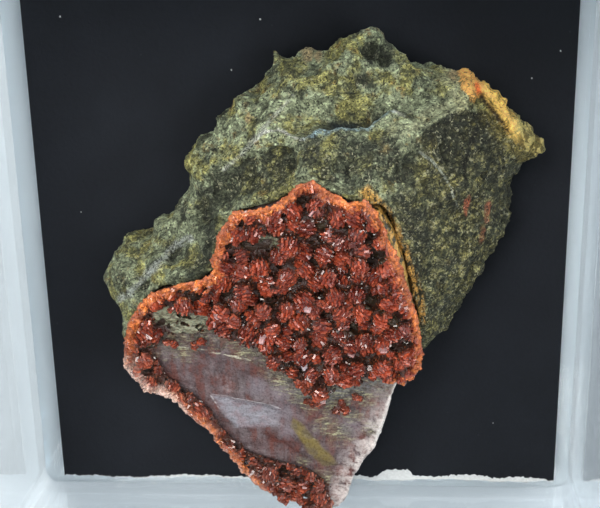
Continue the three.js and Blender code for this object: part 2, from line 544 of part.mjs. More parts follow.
// A few crystals that stand together on the bare slab.
function redCluster(rosettes, index) {
  const random = randomSource(100 + index);
  const balls = rosettes.map(([x, y, radius]) => {
    const ball = new THREE.IcosahedronGeometry(radius, 1);
    ball.rotateX(random() * Math.PI).rotateZ(random() * Math.PI);
    return toSolid(ball).translate([x, y, veinTop(x, y) + SEAM_GAP + radius * CLUSTER_RISE]);
  });
  return toGeometry(wasm.Manifold.union(balls).intersect(aboveVein()));
}

function finish(color, roughness, extra = {}) {
  return new THREE.MeshStandardMaterial({ color, roughness, metalness: 0, flatShading: true, ...extra });
}

const specimen = new THREE.Group();

function place(name, geometry, material) {
  const mesh = new THREE.Mesh(geometry, material);
  mesh.name = name;
  specimen.add(mesh);
}

const clearPlastic = finish(0xdfe9f0, 0.08, { transparent: true, opacity: 0.25 });
const cardBlack = finish(0x15161b, 0.85);
const rockGreen = finish(0x565a3c, 0.8);
const veinWhite = finish(0xc9bfc6, 0.3);
const crustRed = finish(0x93402c, 0.35);

place('box_base', boxBase(), clearPlastic);
place('black_card', blackCard(), cardBlack);
place('matrix_rock', matrixRock(), rockGreen);
place('pale_slab', paleSlab(), veinWhite);
place('red_crust', redCrust(), crustRed);
CLUSTERS.forEach((cluster, index) => {
  place(`red_cluster_${index + 1}`, redCluster(cluster, index), crustRed);
});

export default specimen;
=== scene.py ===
"""A clinoptilolite specimen in its clear box: red crystal rosettes on a pale vein in green rock.

Laid out as an add-on and run as a script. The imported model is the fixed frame, and each piece here stands
where its solid is. Sizes and places are millimetres in the row frame unless a name or a unit says otherwise,
and colours are linear.
"""

import math

import bpy
import numpy as np
from mathutils import Matrix, Vector


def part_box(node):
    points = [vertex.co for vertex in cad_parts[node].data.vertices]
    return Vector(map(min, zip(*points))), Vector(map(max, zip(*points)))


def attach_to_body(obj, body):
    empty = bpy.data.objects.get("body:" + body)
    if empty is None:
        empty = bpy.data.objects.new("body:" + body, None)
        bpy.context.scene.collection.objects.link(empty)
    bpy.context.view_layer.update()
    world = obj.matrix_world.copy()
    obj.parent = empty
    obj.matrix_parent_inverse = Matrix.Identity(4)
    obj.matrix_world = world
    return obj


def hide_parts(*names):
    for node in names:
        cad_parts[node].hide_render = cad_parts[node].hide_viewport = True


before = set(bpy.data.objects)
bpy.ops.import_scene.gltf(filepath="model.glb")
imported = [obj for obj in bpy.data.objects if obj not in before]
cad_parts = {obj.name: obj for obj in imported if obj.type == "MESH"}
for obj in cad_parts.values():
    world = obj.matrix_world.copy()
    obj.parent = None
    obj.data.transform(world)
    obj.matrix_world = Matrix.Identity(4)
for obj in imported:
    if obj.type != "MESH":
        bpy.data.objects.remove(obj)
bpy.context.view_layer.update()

bl_info = {
    "name": "Clinoptilolite specimen",
    "version": (1, 0, 0),
    "blender": (4, 5, 0),
    "location": "3D View > Sidebar > Specimen",
    "description": "Builds a boxed mineral specimen around its packed solids",
    "category": "Object",
}

MM = 0.001
BODY = "root"
CLUSTER_COUNT = 5

# The camera, as the photograph was taken: from above the far side, with the picture's up along +Y.
CAMERA_PLACE = (6.382, 32.581, 99.733)
CAMERA_RIGHT = (0.99818, -0.01954, -0.05703)
CAMERA_UP = (-0.00024, 0.94473, -0.32786)
CAMERA_LENS = 72.0
CAMERA_SENSOR = 36.0
CAMERA_CLIP = 1.0

# The floor lies this far under the box, so that the clear base and the floor have no face in common.
FLOOR_GAP = 0.2
FLOOR_WIDTH = 1600.0

# Points of a solid that lie nearer than this are one point.
MERGE_DISTANCE = 0.002

# Rays that look for a place on the crust start this high and run down.
RAY_START = 40.0

# What a point far from all spots gets, and the depth inside the outline that single pieces get.
FAR_OUTSIDE = -9.0
WELL_INSIDE = 3.0

# The box: from which angle in degrees a corner is rounded, and the tint that the plastic takes with depth.
BEVEL_ANGLE = 40.0
PLASTIC_DEPTH = (0.62, 0.82, 0.92, 1.0)
PLASTIC_DENSITY = 45.0

# The soft lights: name, place, width, watts and colour. The surroundings give the rest of the light.
WARM_LIGHT = (1.0, 0.985, 0.95)
COOL_LIGHT = (0.95, 0.98, 1.0)
LIGHTS = [
    ("key light", (-60, 125, 280), 150, 0.80, WARM_LIGHT),
    ("fill light", (150, 10, 240), 150, 0.44, COOL_LIGHT),
    ("low light", (-180, -60, 200), 140, 0.14, COOL_LIGHT),
]
SURROUNDINGS_COLOUR = (0.86, 0.93, 1.0, 1.0)
SURROUNDINGS_STRENGTH = 0.36

# Edges of the crust, seen from above. The upper edge and the rim's outer edge close the outline.
CRUST_UPPER_EDGE = [
    (-13.3, -5.6), (-13.0, -4.2), (-12.5, -2.9), (-11.7, -1.6), (-10.6, -0.6), (-9.0, -0.1), (-7.6, 0.4),
    (-6.3, 0.8), (-5.8, 1.2), (-5.8, 2.4), (-5.2, 3.9), (-4.5, 5.5), (-3.9, 6.5), (-2.6, 6.5), (-1.6, 6.9),
    (-0.4, 7.4), (0.8, 8.6), (2.1, 9.1), (3.2, 8.2), (4.6, 7.3), (5.9, 7.6), (6.7, 6.6), (7.4, 4.7),
    (8.3, 2.6), (9.0, 0.2), (9.6, -1.9), (9.9, -3.5), (10.3, -5.6), (10.0, -7.2), (9.0, -8.1),
]
CRUST_FRONT_EDGE = [
    (7.9, -8.4), (6.8, -8.2), (6.1, -7.8), (5.0, -8.9), (4.1, -8.8), (3.2, -9.5), (2.5, -9.7), (1.7, -9.4),
    (0.85, -9.1), (0.3, -8.7), (-0.4, -7.7), (-1.5, -7.2), (-2.2, -5.8), (-4.2, -4.9), (-6.0, -4.0),
    (-7.8, -4.2), (-10.3, -4.2), (-10.7, -5.0),
]
CRUST_RIM_OUTER_EDGE = [
    (2.8, -22.5), (1.6, -22.1), (0.0, -21.2), (-1.5, -20.5), (-2.9, -19.8), (-4.1, -18.4), (-5.4, -16.7),
    (-6.6, -14.8), (-7.4, -13.4), (-8.6, -12.2), (-10.0, -10.5), (-11.6, -9.9), (-12.8, -8.8), (-13.6, -7.5),
]
CRUST_RIM_INNER_EDGE = [
    (-11.3, -6.2), (-10.4, -8.4), (-8.2, -10.3), (-7.0, -12.0), (-5.7, -14.2), (-4.3, -16.0), (-2.4, -16.7),
    (0.3, -17.4), (1.8, -18.2), (2.6, -19.4), (2.9, -20.8),
]
CRUST_OUTLINE = CRUST_UPPER_EDGE + CRUST_FRONT_EDGE[:1] + CRUST_RIM_OUTER_EDGE
CRUST_UPPER_PART = CRUST_UPPER_EDGE + CRUST_FRONT_EDGE
CRUST_RIM_PART = CRUST_RIM_OUTER_EDGE + CRUST_UPPER_EDGE[:1] + CRUST_RIM_INNER_EDGE

# The largest rosettes, seen from above: x, y, radius. Smaller ones are tried between them, this many times.
LARGE_ROSETTES = [
    (3.1, 1.7, 0.8), (3.6, 0.0, 0.85), (5.2, 0.2, 0.75), (5.6, -1.4, 0.8), (1.2, -0.4, 0.9),
    (4.0, -1.5, 0.75), (5.2, -6.6, 0.75), (7.2, -6.4, 0.85), (3.3, -5.2, 0.9), (3.1, -7.0, 0.75),
    (1.6, -7.2, 0.7), (-2.0, 2.4, 0.85), (0.2, 4.2, 0.9), (-3.4, 0.2, 0.85),
]
ROSETTE_TRIES = 9000

# Rosettes: the smallest tried and kept as shares of the largest, how far they may pass the crust's edge, how
# near to bare spots and to each other they may stand, and how deep they and the crust between them are sunk.
LEAST_TRIED = 0.4
LEAST_KEPT = 0.3
ROSETTE_OVERHANG = 0.3
BARE_LEVEL = -0.1
ROSETTE_SPACING = 0.82
ROSETTE_SUNK = 0.7
CRUST_SUNK = 0.65

# Crystal plates: how their top narrows, how far they lean, and the most of them on a square metre.
CRYSTAL_TAPER = (0.6, 0.6, 1.0)
CRYSTAL_LEAN = (0.15, 0.4, 0.25)
CRYSTAL_DENSITY = 7.0e7
CLUSTER_CRYSTAL_GAP = 0.19

# Seeds of the random draws.
DUST_SEED = 5
ROSETTE_SEED = 3
TONE_SEED = 4
CRYSTAL_SEED = 11
CLUSTER_SEED = 20

# Places on the crust where few crystals stand: x, y, radius.
CRUST_WINDOWS = [
    (-9.9, -2.7, 1.0), (-8.6, -3.2, 1.3), (-7.2, -3.3, 1.1), (-8.6, -4.4, 1.0), (-1.7, 4.1, 0.65),
    (-1.0, 4.2, 0.5),
]
CRUST_PITS = [
    (-3.3, 3.9, 0.45), (2.7, 7.2, 0.35), (2.6, 6.4, 0.4), (2.6, 5.5, 0.4), (6.9, 3.2, 0.6), (6.3, -0.8, 0.5),
    (7.1, -1.4, 0.45), (7.9, -2.4, 0.45), (5.0, -3.1, 0.45), (4.2, -3.3, 0.4), (1.4, -4.6, 0.45),
    (-0.9, -1.7, 0.4),
]

# Large crystals that lie on the crust: x, y, length, width, turn in degrees, and how pale each one is.
PALE_CRYSTALS = [
    (1.1, -6.9, 0.85, 1.05, 15, 1.0), (-2.2, -4.3, 0.7, 0.8, -15, 0.5), (1.5, -0.9, 0.6, 0.7, 65, 0.6),
    (0.7, -2.1, 0.5, 0.5, 40, 0.4), (1.6, 3.1, 0.5, 0.4, 30, 0.45), (4.7, -5.6, 0.7, 0.4, 55, 0.4),
    (6.9, 0.4, 0.5, 0.5, 10, 0.35), (7.2, -5.0, 0.7, 0.4, 80, 0.4), (-5.5, -1.8, 0.5, 0.4, 35, 0.35),
    (3.2, 5.0, 0.5, 0.4, 15, 0.4), (2.0, 6.9, 0.6, 0.4, -40, 0.4),
]

# Colour regions of the pale vein, seen from above.
BLUISH_FACET = [
    (-6.9, -10.4), (-4.3, -10.8), (-2.0, -11.3), (-1.2, -11.7), (-1.0, -13.6), (-3.3, -13.9), (-5.0, -13.9),
    (-6.0, -12.6),
]
YELLOW_BLADE = [
    (-0.2, -12.5), (0.7, -13.2), (1.6, -14.5), (2.7, -16.0), (3.5, -17.0), (3.2, -17.5), (2.1, -17.6),
    (1.2, -16.3), (0.4, -14.8), (-0.3, -13.6),
]
VEIN_RIGHT_EDGE = [
    (8.3, -9.0), (7.9, -10.4), (7.1, -13.3), (6.6, -15.2), (5.5, -16.9), (4.7, -18.9), (4.2, -20.6),
    (3.6, -21.9),
]
VEIN_TOP_STEP = [(-9.4, -5.8), (-7.0, -6.0), (-5.3, -6.6), (-3.4, -7.0)]

VEIN_REDDISH = [
    (7.0, -10.8, 1.9), (-1.5, -15.4, 1.8), (4.0, -18.4, 1.5), (-5.8, -9.3, 1.3), (-2.4, -8.2, 1.2),
    (-6.2, -11.2, 1.2), (2.2, -12.2, 1.3), (4.6, -15.0, 1.1),
]
VEIN_PALE = [(-0.9, -12.0, 1.7), (-1.0, -10.0, 1.5), (-3.0, -9.6, 1.4), (-0.6, -14.0, 1.2), (4.6, -13.4, 1.3)]
VEIN_GREENISH = [
    (-9.0, -6.2, 1.6), (-1.0, -8.6, 1.5), (1.0, -10.9, 1.4), (2.4, -18.6, 1.0), (3.6, -14.0, 1.5),
    (6.4, -13.4, 1.0), (6.6, -8.9, 1.2), (-4.0, -6.3, 1.2), (0.6, -17.0, 0.8), (2.6, -13.0, 1.3),
    (4.8, -12.2, 1.1), (0.4, -10.4, 1.1), (3.4, -10.8, 1.6), (5.6, -9.8, 1.6), (1.6, -10.4, 1.2),
]
VEIN_SPOTS = {"reddish": VEIN_REDDISH, "greenish": VEIN_GREENISH, "pale_glow": VEIN_PALE}

# The direction in which the vein's cleavage steps climb, and how wide they are.
STEP_DIRECTION = (0.45, 0.89, 0.0)
STEP_WIDTH = 1.7

# Lines on the rock, seen from above.
ROCK_LEDGE = [
    (-2.7, 10.8), (-1.5, 11.8), (-0.4, 11.9), (1.0, 11.6), (1.8, 11.9), (2.5, 12.3), (3.6, 12.2), (5.9, 12.3),
    (6.9, 12.8), (7.9, 13.3), (9.3, 13.0), (10.2, 12.6), (11.3, 13.1), (13.2, 13.6),
]
ROCK_CREST = [(7.9, 12.1), (9.5, 12.3), (10.6, 12.9), (12.1, 13.5), (13.2, 13.6)]
ROCK_BROW = [
    (5.0, 10.6), (6.9, 11.2), (8.4, 11.5), (9.6, 11.7), (10.4, 12.3), (10.9, 12.7), (12.1, 13.1),
    (13.0, 13.4), (13.8, 13.3), (14.7, 13.1), (20.0, 12.0),
]
ROCK_CREST_TOP = [(12.0, 15.3), (12.8, 14.7), (13.1, 13.8)]
ROCK_SEAM = [
    (-14.5, -3.0), (-13.7, -2.3), (-12.4, -1.0), (-11.3, 0.2), (-10.5, 0.9), (-9.3, 2.0), (-7.9, 3.0),
]
ROCK_STREAK = [(-5.2, 8.4), (-3.6, 9.9), (-2.7, 11.0), (-1.8, 12.1), (-0.7, 13.1), (0.3, 14.1)]
ROCK_ARC = [(9.8, 10.6), (10.8, 9.8), (11.6, 8.8), (12.2, 7.7), (12.5, 6.8), (13.0, 5.5)]
ROCK_CRACK = [(14.2, 11.8), (13.6, 10.5), (13.3, 9.2), (13.3, 8.2)]
RIND_EDGE = [
    (12.7, 25.0), (12.8, 16.3), (13.0, 14.6), (14.0, 13.5), (14.7, 13.7), (15.5, 12.6), (16.1, 11.7),
    (16.5, 11.1), (17.4, 10.2), (18.1, 9.4), (18.9, 8.9),
]
RIND_CREVICE = [(14.5, 13.9), (15.1, 13.2), (15.8, 12.4), (16.6, 11.3)]
RIND_RED = [(14.25, 14.7), (14.4, 14.1)]
RIND_RIDGE = [(14.8, 14.4), (15.6, 13.6), (16.5, 12.5), (17.4, 11.6), (18.4, 10.3)]
# Hollows sunk into the rock, and spots of painted shade, which the hollows get too: x, y, radius.
ROCK_HOLLOWS = [
    (-5.0, 7.6, 1.8), (-3.2, 8.6, 1.5), (-7.0, 5.4, 1.2), (-9.8, 2.0, 1.0), (6.1, 17.6, 0.8),
    (7.3, 17.2, 0.8), (-12.2, -0.6, 0.9), (12.0, 10.6, 1.3), (8.8, 9.4, 1.2), (-6.5, 3.2, 0.9),
    (4.6, 10.3, 1.3), (-0.2, 10.1, 1.0),
]
ROCK_SHADED = [
    (9.4, 5.0, 1.7), (9.3, 2.6, 1.7), (10.2, 3.8, 1.5), (9.6, 0.6, 1.3), (8.8, 7.0, 1.2), (14.2, 10.4, 2.2),
    (-1.2, 9.0, 1.9), (-6.6, 6.4, 1.4), (1.8, 11.0, 1.4), (4.6, 10.6, 1.8), (5.8, 9.6, 1.6), (7.4, 10.6, 1.3),
    (7.5, 17.3, 1.0), (6.2, 17.0, 0.7), (3.2, 9.6, 1.0), (-6.3, 3.9, 1.5), (-6.7, 2.0, 1.3), (-7.4, 0.9, 1.0),
    (12.0, 11.6, 1.8), (7.6, 11.8, 0.9), (6.2, 10.8, 1.4), (4.2, 11.3, 1.1), (7.4, 9.4, 1.1), (8.6, 6.2, 1.0),
    (2.9, 9.9, 1.2), (15.8, 8.6, 1.4), (-9.0, 4.6, 0.9), (12.6, -3.0, 0.9), (16.2, 4.0, 0.9),
    (5.6, 15.4, 0.8), (-14.2, -1.2, 0.9),
]
# The crevice beside the crust's left edge, where a shadow is painted.
ROCK_DENT_SHADOW = [(-5.8, 5.2), (-5.9, 4.3), (-6.1, 3.0), (-6.4, 2.0), (-6.8, 1.2), (-7.6, 0.4)]
ROCK_TAN = [(1.3, 16.8, 0.9), (2.2, 16.6, 0.6), (-3.2, 12.4, 0.5), (12.6, 15.6, 0.7)]
ROCK_SPOTS = {"hollow": ROCK_HOLLOWS, "shaded": ROCK_HOLLOWS + ROCK_SHADED, "tan": ROCK_TAN}
CRUST_STRIP = [
    (5.9, 8.0), (6.9, 6.9), (7.6, 5.6), (8.2, 4.1), (8.8, 2.6), (9.3, 0.9), (9.9, -1.6), (10.2, -3.4),
]

ROCK_LINES = {
    "seam": ROCK_SEAM, "crest": ROCK_CREST, "crest_top": ROCK_CREST_TOP, "streak": ROCK_STREAK,
    "arc": ROCK_ARC, "crack": ROCK_CRACK, "dent": ROCK_DENT_SHADOW, "crevice": RIND_CREVICE, "red": RIND_RED,
    "ridge": RIND_RIDGE, "strip": CRUST_STRIP,
}
VEIN_PARTS = {"facet": BLUISH_FACET, "blade": YELLOW_BLADE}
VEIN_LINES = {
    "right_edge": VEIN_RIGHT_EDGE, "front_edge": CRUST_FRONT_EDGE, "top_step": VEIN_TOP_STEP,
    "strip": CRUST_STRIP,
}

# Colours along lines on the rock, in the order they're laid on: name, width, fraying, strength and colour.
BROKEN_LINES = [
    ("streak", 0.22, 0.3, 0.55, (0.56, 0.57, 0.50, 1.0)),
    ("seam", 0.35, 0.5, 0.8, (0.50, 0.53, 0.48, 1.0)),
    # The crest's pale line is a painted highlight along the ridge's lit edge.
    ("crest", 0.5, 0.9, 0.5, (0.50, 0.51, 0.30, 1.0)),
    ("crest_top", 0.8, 1.4, 0.6, (0.50, 0.48, 0.26, 1.0)),
]
WHOLE_LINES = [
    ("arc", 0.11, 0.1, 0.75, (0.44, 0.47, 0.39, 1.0)),
    ("crack", 0.24, 0.2, 0.9, (0.010, 0.011, 0.008, 1.0)),
    # The line beside the crust is a painted shadow.
    ("dent", 0.8, 1.2, 0.75, (0.035, 0.042, 0.028, 1.0)),
]

# Red stains on the rock: x, y and strength.
ROCK_STAINS = [(13.6, 5.9, 0.9), (15.3, 4.9, 0.6), (15.0, 2.9, 0.35)]

# The warp that the rock's lumps share, and the way the rind's streaks run.
LUMP_WARP = (4.0, 0.7)
RIND_TURN = 0.85

# Lesser colours of the rock.
ROCK_RUST = (0.34, 0.20, 0.05, 1.0)
ROCK_DARK = (0.070, 0.080, 0.048, 1.0)
ROCK_CREVICE_SHADE = (0.035, 0.040, 0.026, 1.0)
ROCK_SHADE = (0.034, 0.038, 0.026, 1.0)
ROCK_CREASE = (0.030, 0.034, 0.024, 1.0)
ROCK_SHADE_UNDER_CRUST = (0.030, 0.020, 0.012, 1.0)
ROCK_TAN_COLOUR = (0.50, 0.38, 0.20, 1.0)
ROCK_STAIN_COLOUR = (0.46, 0.13, 0.065, 1.0)
FACE_SHADE_DARK = (0.020, 0.022, 0.013, 1.0)
FACE_SHADE_LIGHT = (0.185, 0.165, 0.062, 1.0)
PALE_GRAIN_AND_GLINT = (0.62, 0.60, 0.39, 1.0)
BLACK_GRAIN = (0.012, 0.013, 0.010, 1.0)
LEDGE_SHADOW = (0.014, 0.022, 0.025, 1.0)
LEDGE_HIGHLIGHT_ENDS = (0.80, 0.79, 0.70, 1.0)
LEDGE_HIGHLIGHT_MIDDLE = (0.36, 0.50, 0.54, 1.0)
RIND_DULL = (0.50, 0.33, 0.070, 1.0)
RIND_BRIGHT = (0.98, 0.63, 0.16, 1.0)
RIND_BROWN = (0.11, 0.078, 0.022, 1.0)
RIND_ORANGE = (0.96, 0.48, 0.14, 1.0)
RIND_CRACK = (0.13, 0.08, 0.02, 1.0)
RIND_RED_COLOUR = (0.75, 0.15, 0.035, 1.0)
RIND_OUTER = (0.30, 0.235, 0.055, 1.0)
RIND_CREVICE_SHADE = (0.025, 0.013, 0.006, 1.0)
BESIDE_RIND = (0.27, 0.225, 0.070, 1.0)
KNOB_DARK = (0.070, 0.070, 0.026, 1.0)
KNOB_LIGHT = (0.46, 0.40, 0.15, 1.0)
STRIP_OCHRE = (0.62, 0.34, 0.08, 1.0)
STRIP_CRACK = (0.035, 0.028, 0.014, 1.0)

# Lesser colours of the vein.
VEIN_CLOUD = (0.146, 0.100, 0.102, 1.0)
VEIN_GLOW = (0.205, 0.178, 0.200, 1.0)
VEIN_STREAK = (0.19, 0.160, 0.168, 1.0)
VEIN_GREEN = (0.13, 0.13, 0.085, 1.0)
VEIN_BLUE = (0.125, 0.130, 0.135, 1.0)
VEIN_FIBRE = (0.40, 0.38, 0.23, 1.0)
VEIN_SPECK = (0.035, 0.030, 0.020, 1.0)
VEIN_RIGHT = (0.64, 0.57, 0.54, 1.0)
VEIN_THIN_EDGE = (0.75, 0.71, 0.67, 1.0)
VEIN_TOP_STEP_COLOUR = (0.62, 0.60, 0.46, 1.0)
VEIN_SHADE_UNDER_CRUST = (0.045, 0.026, 0.018, 1.0)
VEIN_OLIVE = (0.30, 0.24, 0.09, 1.0)
VEIN_OLIVE_DARK = (0.07, 0.07, 0.04, 1.0)
FACET_CLOUD = (0.25, 0.20, 0.22, 1.0)
FACET_EDGE = (0.60, 0.57, 0.58, 1.0)
BLADE_YELLOW = (0.185, 0.140, 0.042, 1.0)
BLADE_CLOUD = (0.135, 0.105, 0.055, 1.0)

# Lesser colours of the crust and its crystals.
CRYSTAL_DEEP_RED = (0.19, 0.030, 0.018, 1.0)
CRYSTAL_PURPLE_SHEEN = (0.22, 0.09, 0.08, 1.0)
CRYSTAL_FOOT_SHADE = (0.028, 0.018, 0.010, 1.0)
CRYSTAL_PIT_SHADE = (0.050, 0.034, 0.014, 1.0)
CRYSTAL_LOWER = (0.150, 0.062, 0.042, 1.0)
CRYSTAL_TIP_GLOW = (0.60, 0.150, 0.055, 1.0)
CRYSTAL_PINK_SHEEN = (0.55, 0.30, 0.25, 1.0)
CRYSTAL_PALE = (0.80, 0.70, 0.74, 1.0)
RIM_RUST = (0.44, 0.13, 0.055, 1.0)
RIM_PINK = (0.68, 0.50, 0.42, 1.0)
WINDOW_DARK = (0.070, 0.058, 0.034, 1.0)
WINDOW_PALE = (0.27, 0.27, 0.18, 1.0)
CRUST_PIT_SHADE = (0.038, 0.024, 0.012, 1.0)

# The torn lower edge of the card: x and how far the black paper is torn back from the white core's edge.
CARD_TEAR = [
    (-22.6, 0.05), (-16.0, 0.1), (-12.0, 0.25), (-8.0, 0.2), (-3.5, 0.2), (-1.2, 0.3), (0.5, 1.5), (2.5, 1.3),
    (4.0, 0.5), (6.4, 0.35), (7.6, 1.1), (9.6, 1.2), (10.3, 0.4), (13.0, 0.35), (15.0, 0.65), (18.0, 0.4),
    (20.0, 0.6), (22.6, 0.1),
]

# The card's mesh in columns and rows, how far its lower edge is set in, and how far up its waves reach.
CARD_GRID = (360, 14)
CARD_INSET = 0.12
CARD_EDGE_REACH = 3.0

# Waves of the card's lower edge and of the tear: height, pace along x and start.
CARD_WAVES = [(0.10, 0.55, 0.6), (0.05, 2.3, 2.0), (0.03, 6.1, 0.0)]
TEAR_WAVES = [(0.05, 9.7, 1.0), (0.04, 17.3, 0.0), (0.03, 31.0, 0.5)]
CARD_FLECK = (0.16, 0.18, 0.2, 1.0)

# Specks of dust on the card: x, y and width, their colour, and how far their points are pushed about.
CARD_DUST = [
    (-19.1, 19.2, 0.17), (-2.7, 18.8, 0.17), (19.3, 13.8, 0.17), (21.5, 16.0, 0.17), (-5.2, 14.7, 0.17),
    (-18.7, 2.5, 0.1), (17.2, -17.4, 0.1),
]
DUST_COLOUR = (0.75, 0.76, 0.72)
DUST_RAGGED = 0.012


def size_property(name, description, millimetres):
    """A length that a user may change."""
    return bpy.props.FloatProperty(
        name=name, description=description, default=millimetres * MM, min=0.0, precision=5, unit="LENGTH"
    )


def colour_property(name, description, colour):
    """A linear colour that a user may change."""
    return bpy.props.FloatVectorProperty(
        name=name, description=description, default=(*colour, 1.0), size=4, min=0.0, max=1.0, subtype="COLOR"
    )


class SpecimenSizes(bpy.types.PropertyGroup):
    """Sizes of the finish on each piece."""

    rock_mesh: size_property("Rock mesh", "Edge of the rock's small faces", 0.18)
    rock_lumps: size_property("Rock lumps", "Height of the rock's lumps and ridges", 0.8)
    rock_grains: size_property("Rock grains", "Width of the rock's mineral grains", 0.13)
    vein_mesh: size_property("Vein mesh", "Edge of the pale vein's small faces", 0.16)
    vein_steps: size_property("Vein steps", "Height of the vein's cleavage steps", 0.14)
    crust_mesh: size_property("Crust mesh", "Edge of the crust's small faces", 0.15)
    rosette_radius: size_property("Rosette radius", "Largest radius of the small rosettes", 0.8)
    crystal_length: size_property("Crystal length", "Length of a usual crystal plate", 0.46)
    crystal_gap: size_property("Crystal gap", "Least distance between two crystals", 0.22)
    card_paper: size_property("Card paper", "Thickness of the card's black paper", 0.08)
    box_bevel: size_property("Box bevel", "Width of the rounding on the box's edges", 0.2)


class SpecimenColours(bpy.types.PropertyGroup):
    """Main colours of each piece."""

    rock_green: colour_property("Rock green", "The rock's main grey green", (0.310, 0.350, 0.215))
    rock_olive: colour_property("Rock olive", "Yellow-green patches on the rock", (0.310, 0.295, 0.105))
    rock_ochre: colour_property("Rock ochre", "The weathered rind on one corner", (0.950, 0.600, 0.180))
    vein_lavender: colour_property("Vein lavender", "The vein's lavender grey", (0.073, 0.047, 0.048))
    vein_white: colour_property("Vein white", "The vein's bluish white", (0.265, 0.258, 0.288))
    vein_stain: colour_property("Vein stain", "Red clouds inside the vein", (0.125, 0.040, 0.030))
    crystal_red: colour_property("Crystal red", "The crystals' orange red", (0.385, 0.064, 0.030))
    # Painted shade in the crust body's low relief.
    crystal_shade: colour_property("Crystal dark", "The darkest crystals", (0.090, 0.016, 0.014))
    crystal_rim: colour_property("Crystal rim", "The crust's bright outer rim", (0.800, 0.250, 0.065))
    card_black: colour_property("Card black", "The card's face", (0.0090, 0.0108, 0.0145))
    card_core: colour_property("Card core", "The card's torn white core", (0.720, 0.740, 0.740))
    plastic: colour_property("Plastic", "The clear box", (0.985, 0.995, 1.000))
    floor: colour_property("Floor", "The pale floor under the box", (0.780, 0.840, 0.880))


class Value:
    """An output of a node. +, -, * and the methods below add the next node and give its output."""

    def __init__(self, graph, socket):
        self.graph = graph
        self.socket = socket

    def __add__(self, other):
        return self.graph.math("ADD", self, other)

    def __sub__(self, other):
        return self.graph.math("SUBTRACT", self, other)

    def __rsub__(self, other):
        return self.graph.math("SUBTRACT", other, self)

    def __mul__(self, other):
        return self.graph.math("MULTIPLY", self, other)

    def __abs__(self):
        return self.graph.math("ABSOLUTE", self)

    def most(self, other):
        return self.graph.math("MAXIMUM", self, other)

    def fit(self, low, high, start=0.0, end=1.0, smooth=False):
        """Runs from start, where the value is at low, to end, where it's at high."""
        inputs = {0: self, 1: low, 2: high, 3: start, 4: end}
        kind = "SMOOTHSTEP" if smooth else "LINEAR"
        return self.graph.output("ShaderNodeMapRange", inputs, interpolation_type=kind)


class Graph:
    """Writes a node tree line by line. Each method adds nodes, joins inputs and gives an output back."""

    def __init__(self, tree):
        self.tree = tree

    def node(self, kind, inputs=None, **options):
        made = self.tree.nodes.new(kind)
        for name, value in options.items():
            setattr(made, name, value)
        for key, value in (inputs or {}).items():
            if isinstance(value, Value):
                self.tree.links.new(value.socket, made.inputs[key])
            else:
                made.inputs[key].default_value = value
        return made

    def output(self, kind, inputs=None, which=0, **options):
        return Value(self, self.node(kind, inputs, **options).outputs[which])

    def math(self, operation, first, second=0.0):
        return self.output("ShaderNodeMath", {0: first, 1: second}, operation=operation)

    def vector(self, operation, first, second=(0.0, 0.0, 0.0)):
        which = "Value" if operation in ("DOT_PRODUCT", "LENGTH") else 0
        return self.output("ShaderNodeVectorMath", {0: first, 1: second}, which, operation=operation)

    def scaled(self, vector, factor):
        return self.output("ShaderNodeVectorMath", {0: vector, "Scale": factor}, operation="SCALE")

    def parts(self, vector):
        return [Value(self, part) for part in self.node("ShaderNodeSeparateXYZ", {0: vector}).outputs]

    def moved(self, warp=None, turn=None, stretch=None):
        """The point, pushed about by a noise of a size and an amount, turned about Z and scaled by axis."""
        place = self.place
        if warp:
            size, amount = warp
            push = self.vector("SUBTRACT", self.noise(size, output=1), (0.5, 0.5, 0.5))
            place = self.vector("ADD", place, self.scaled(push, 2.0 * amount))
        if turn:
            place = self.output("ShaderNodeVectorRotate", {"Vector": place, "Angle": turn})
        if stretch:
            place = self.vector("MULTIPLY", place, stretch)
        return place

    def noise(self, size, detail=3.0, roughness=0.55, kind="FBM", output=0, **moves):
        """Noise whose main lumps are about size millimetres wide."""
        place = self.moved(**moves)
        inputs = {"Vector": place, "Scale": 1.0 / size, "Detail": detail, "Roughness": roughness}
        return self.output("ShaderNodeTexNoise", inputs, output, noise_type=kind)

    def cells(self, size, feature="F1", output="Distance", **moves):
        """Cells about size millimetres wide."""
        inputs = {"Vector": self.moved(**moves), "Scale": 1.0 / size}
        return self.output("ShaderNodeTexVoronoi", inputs, output, feature=feature)


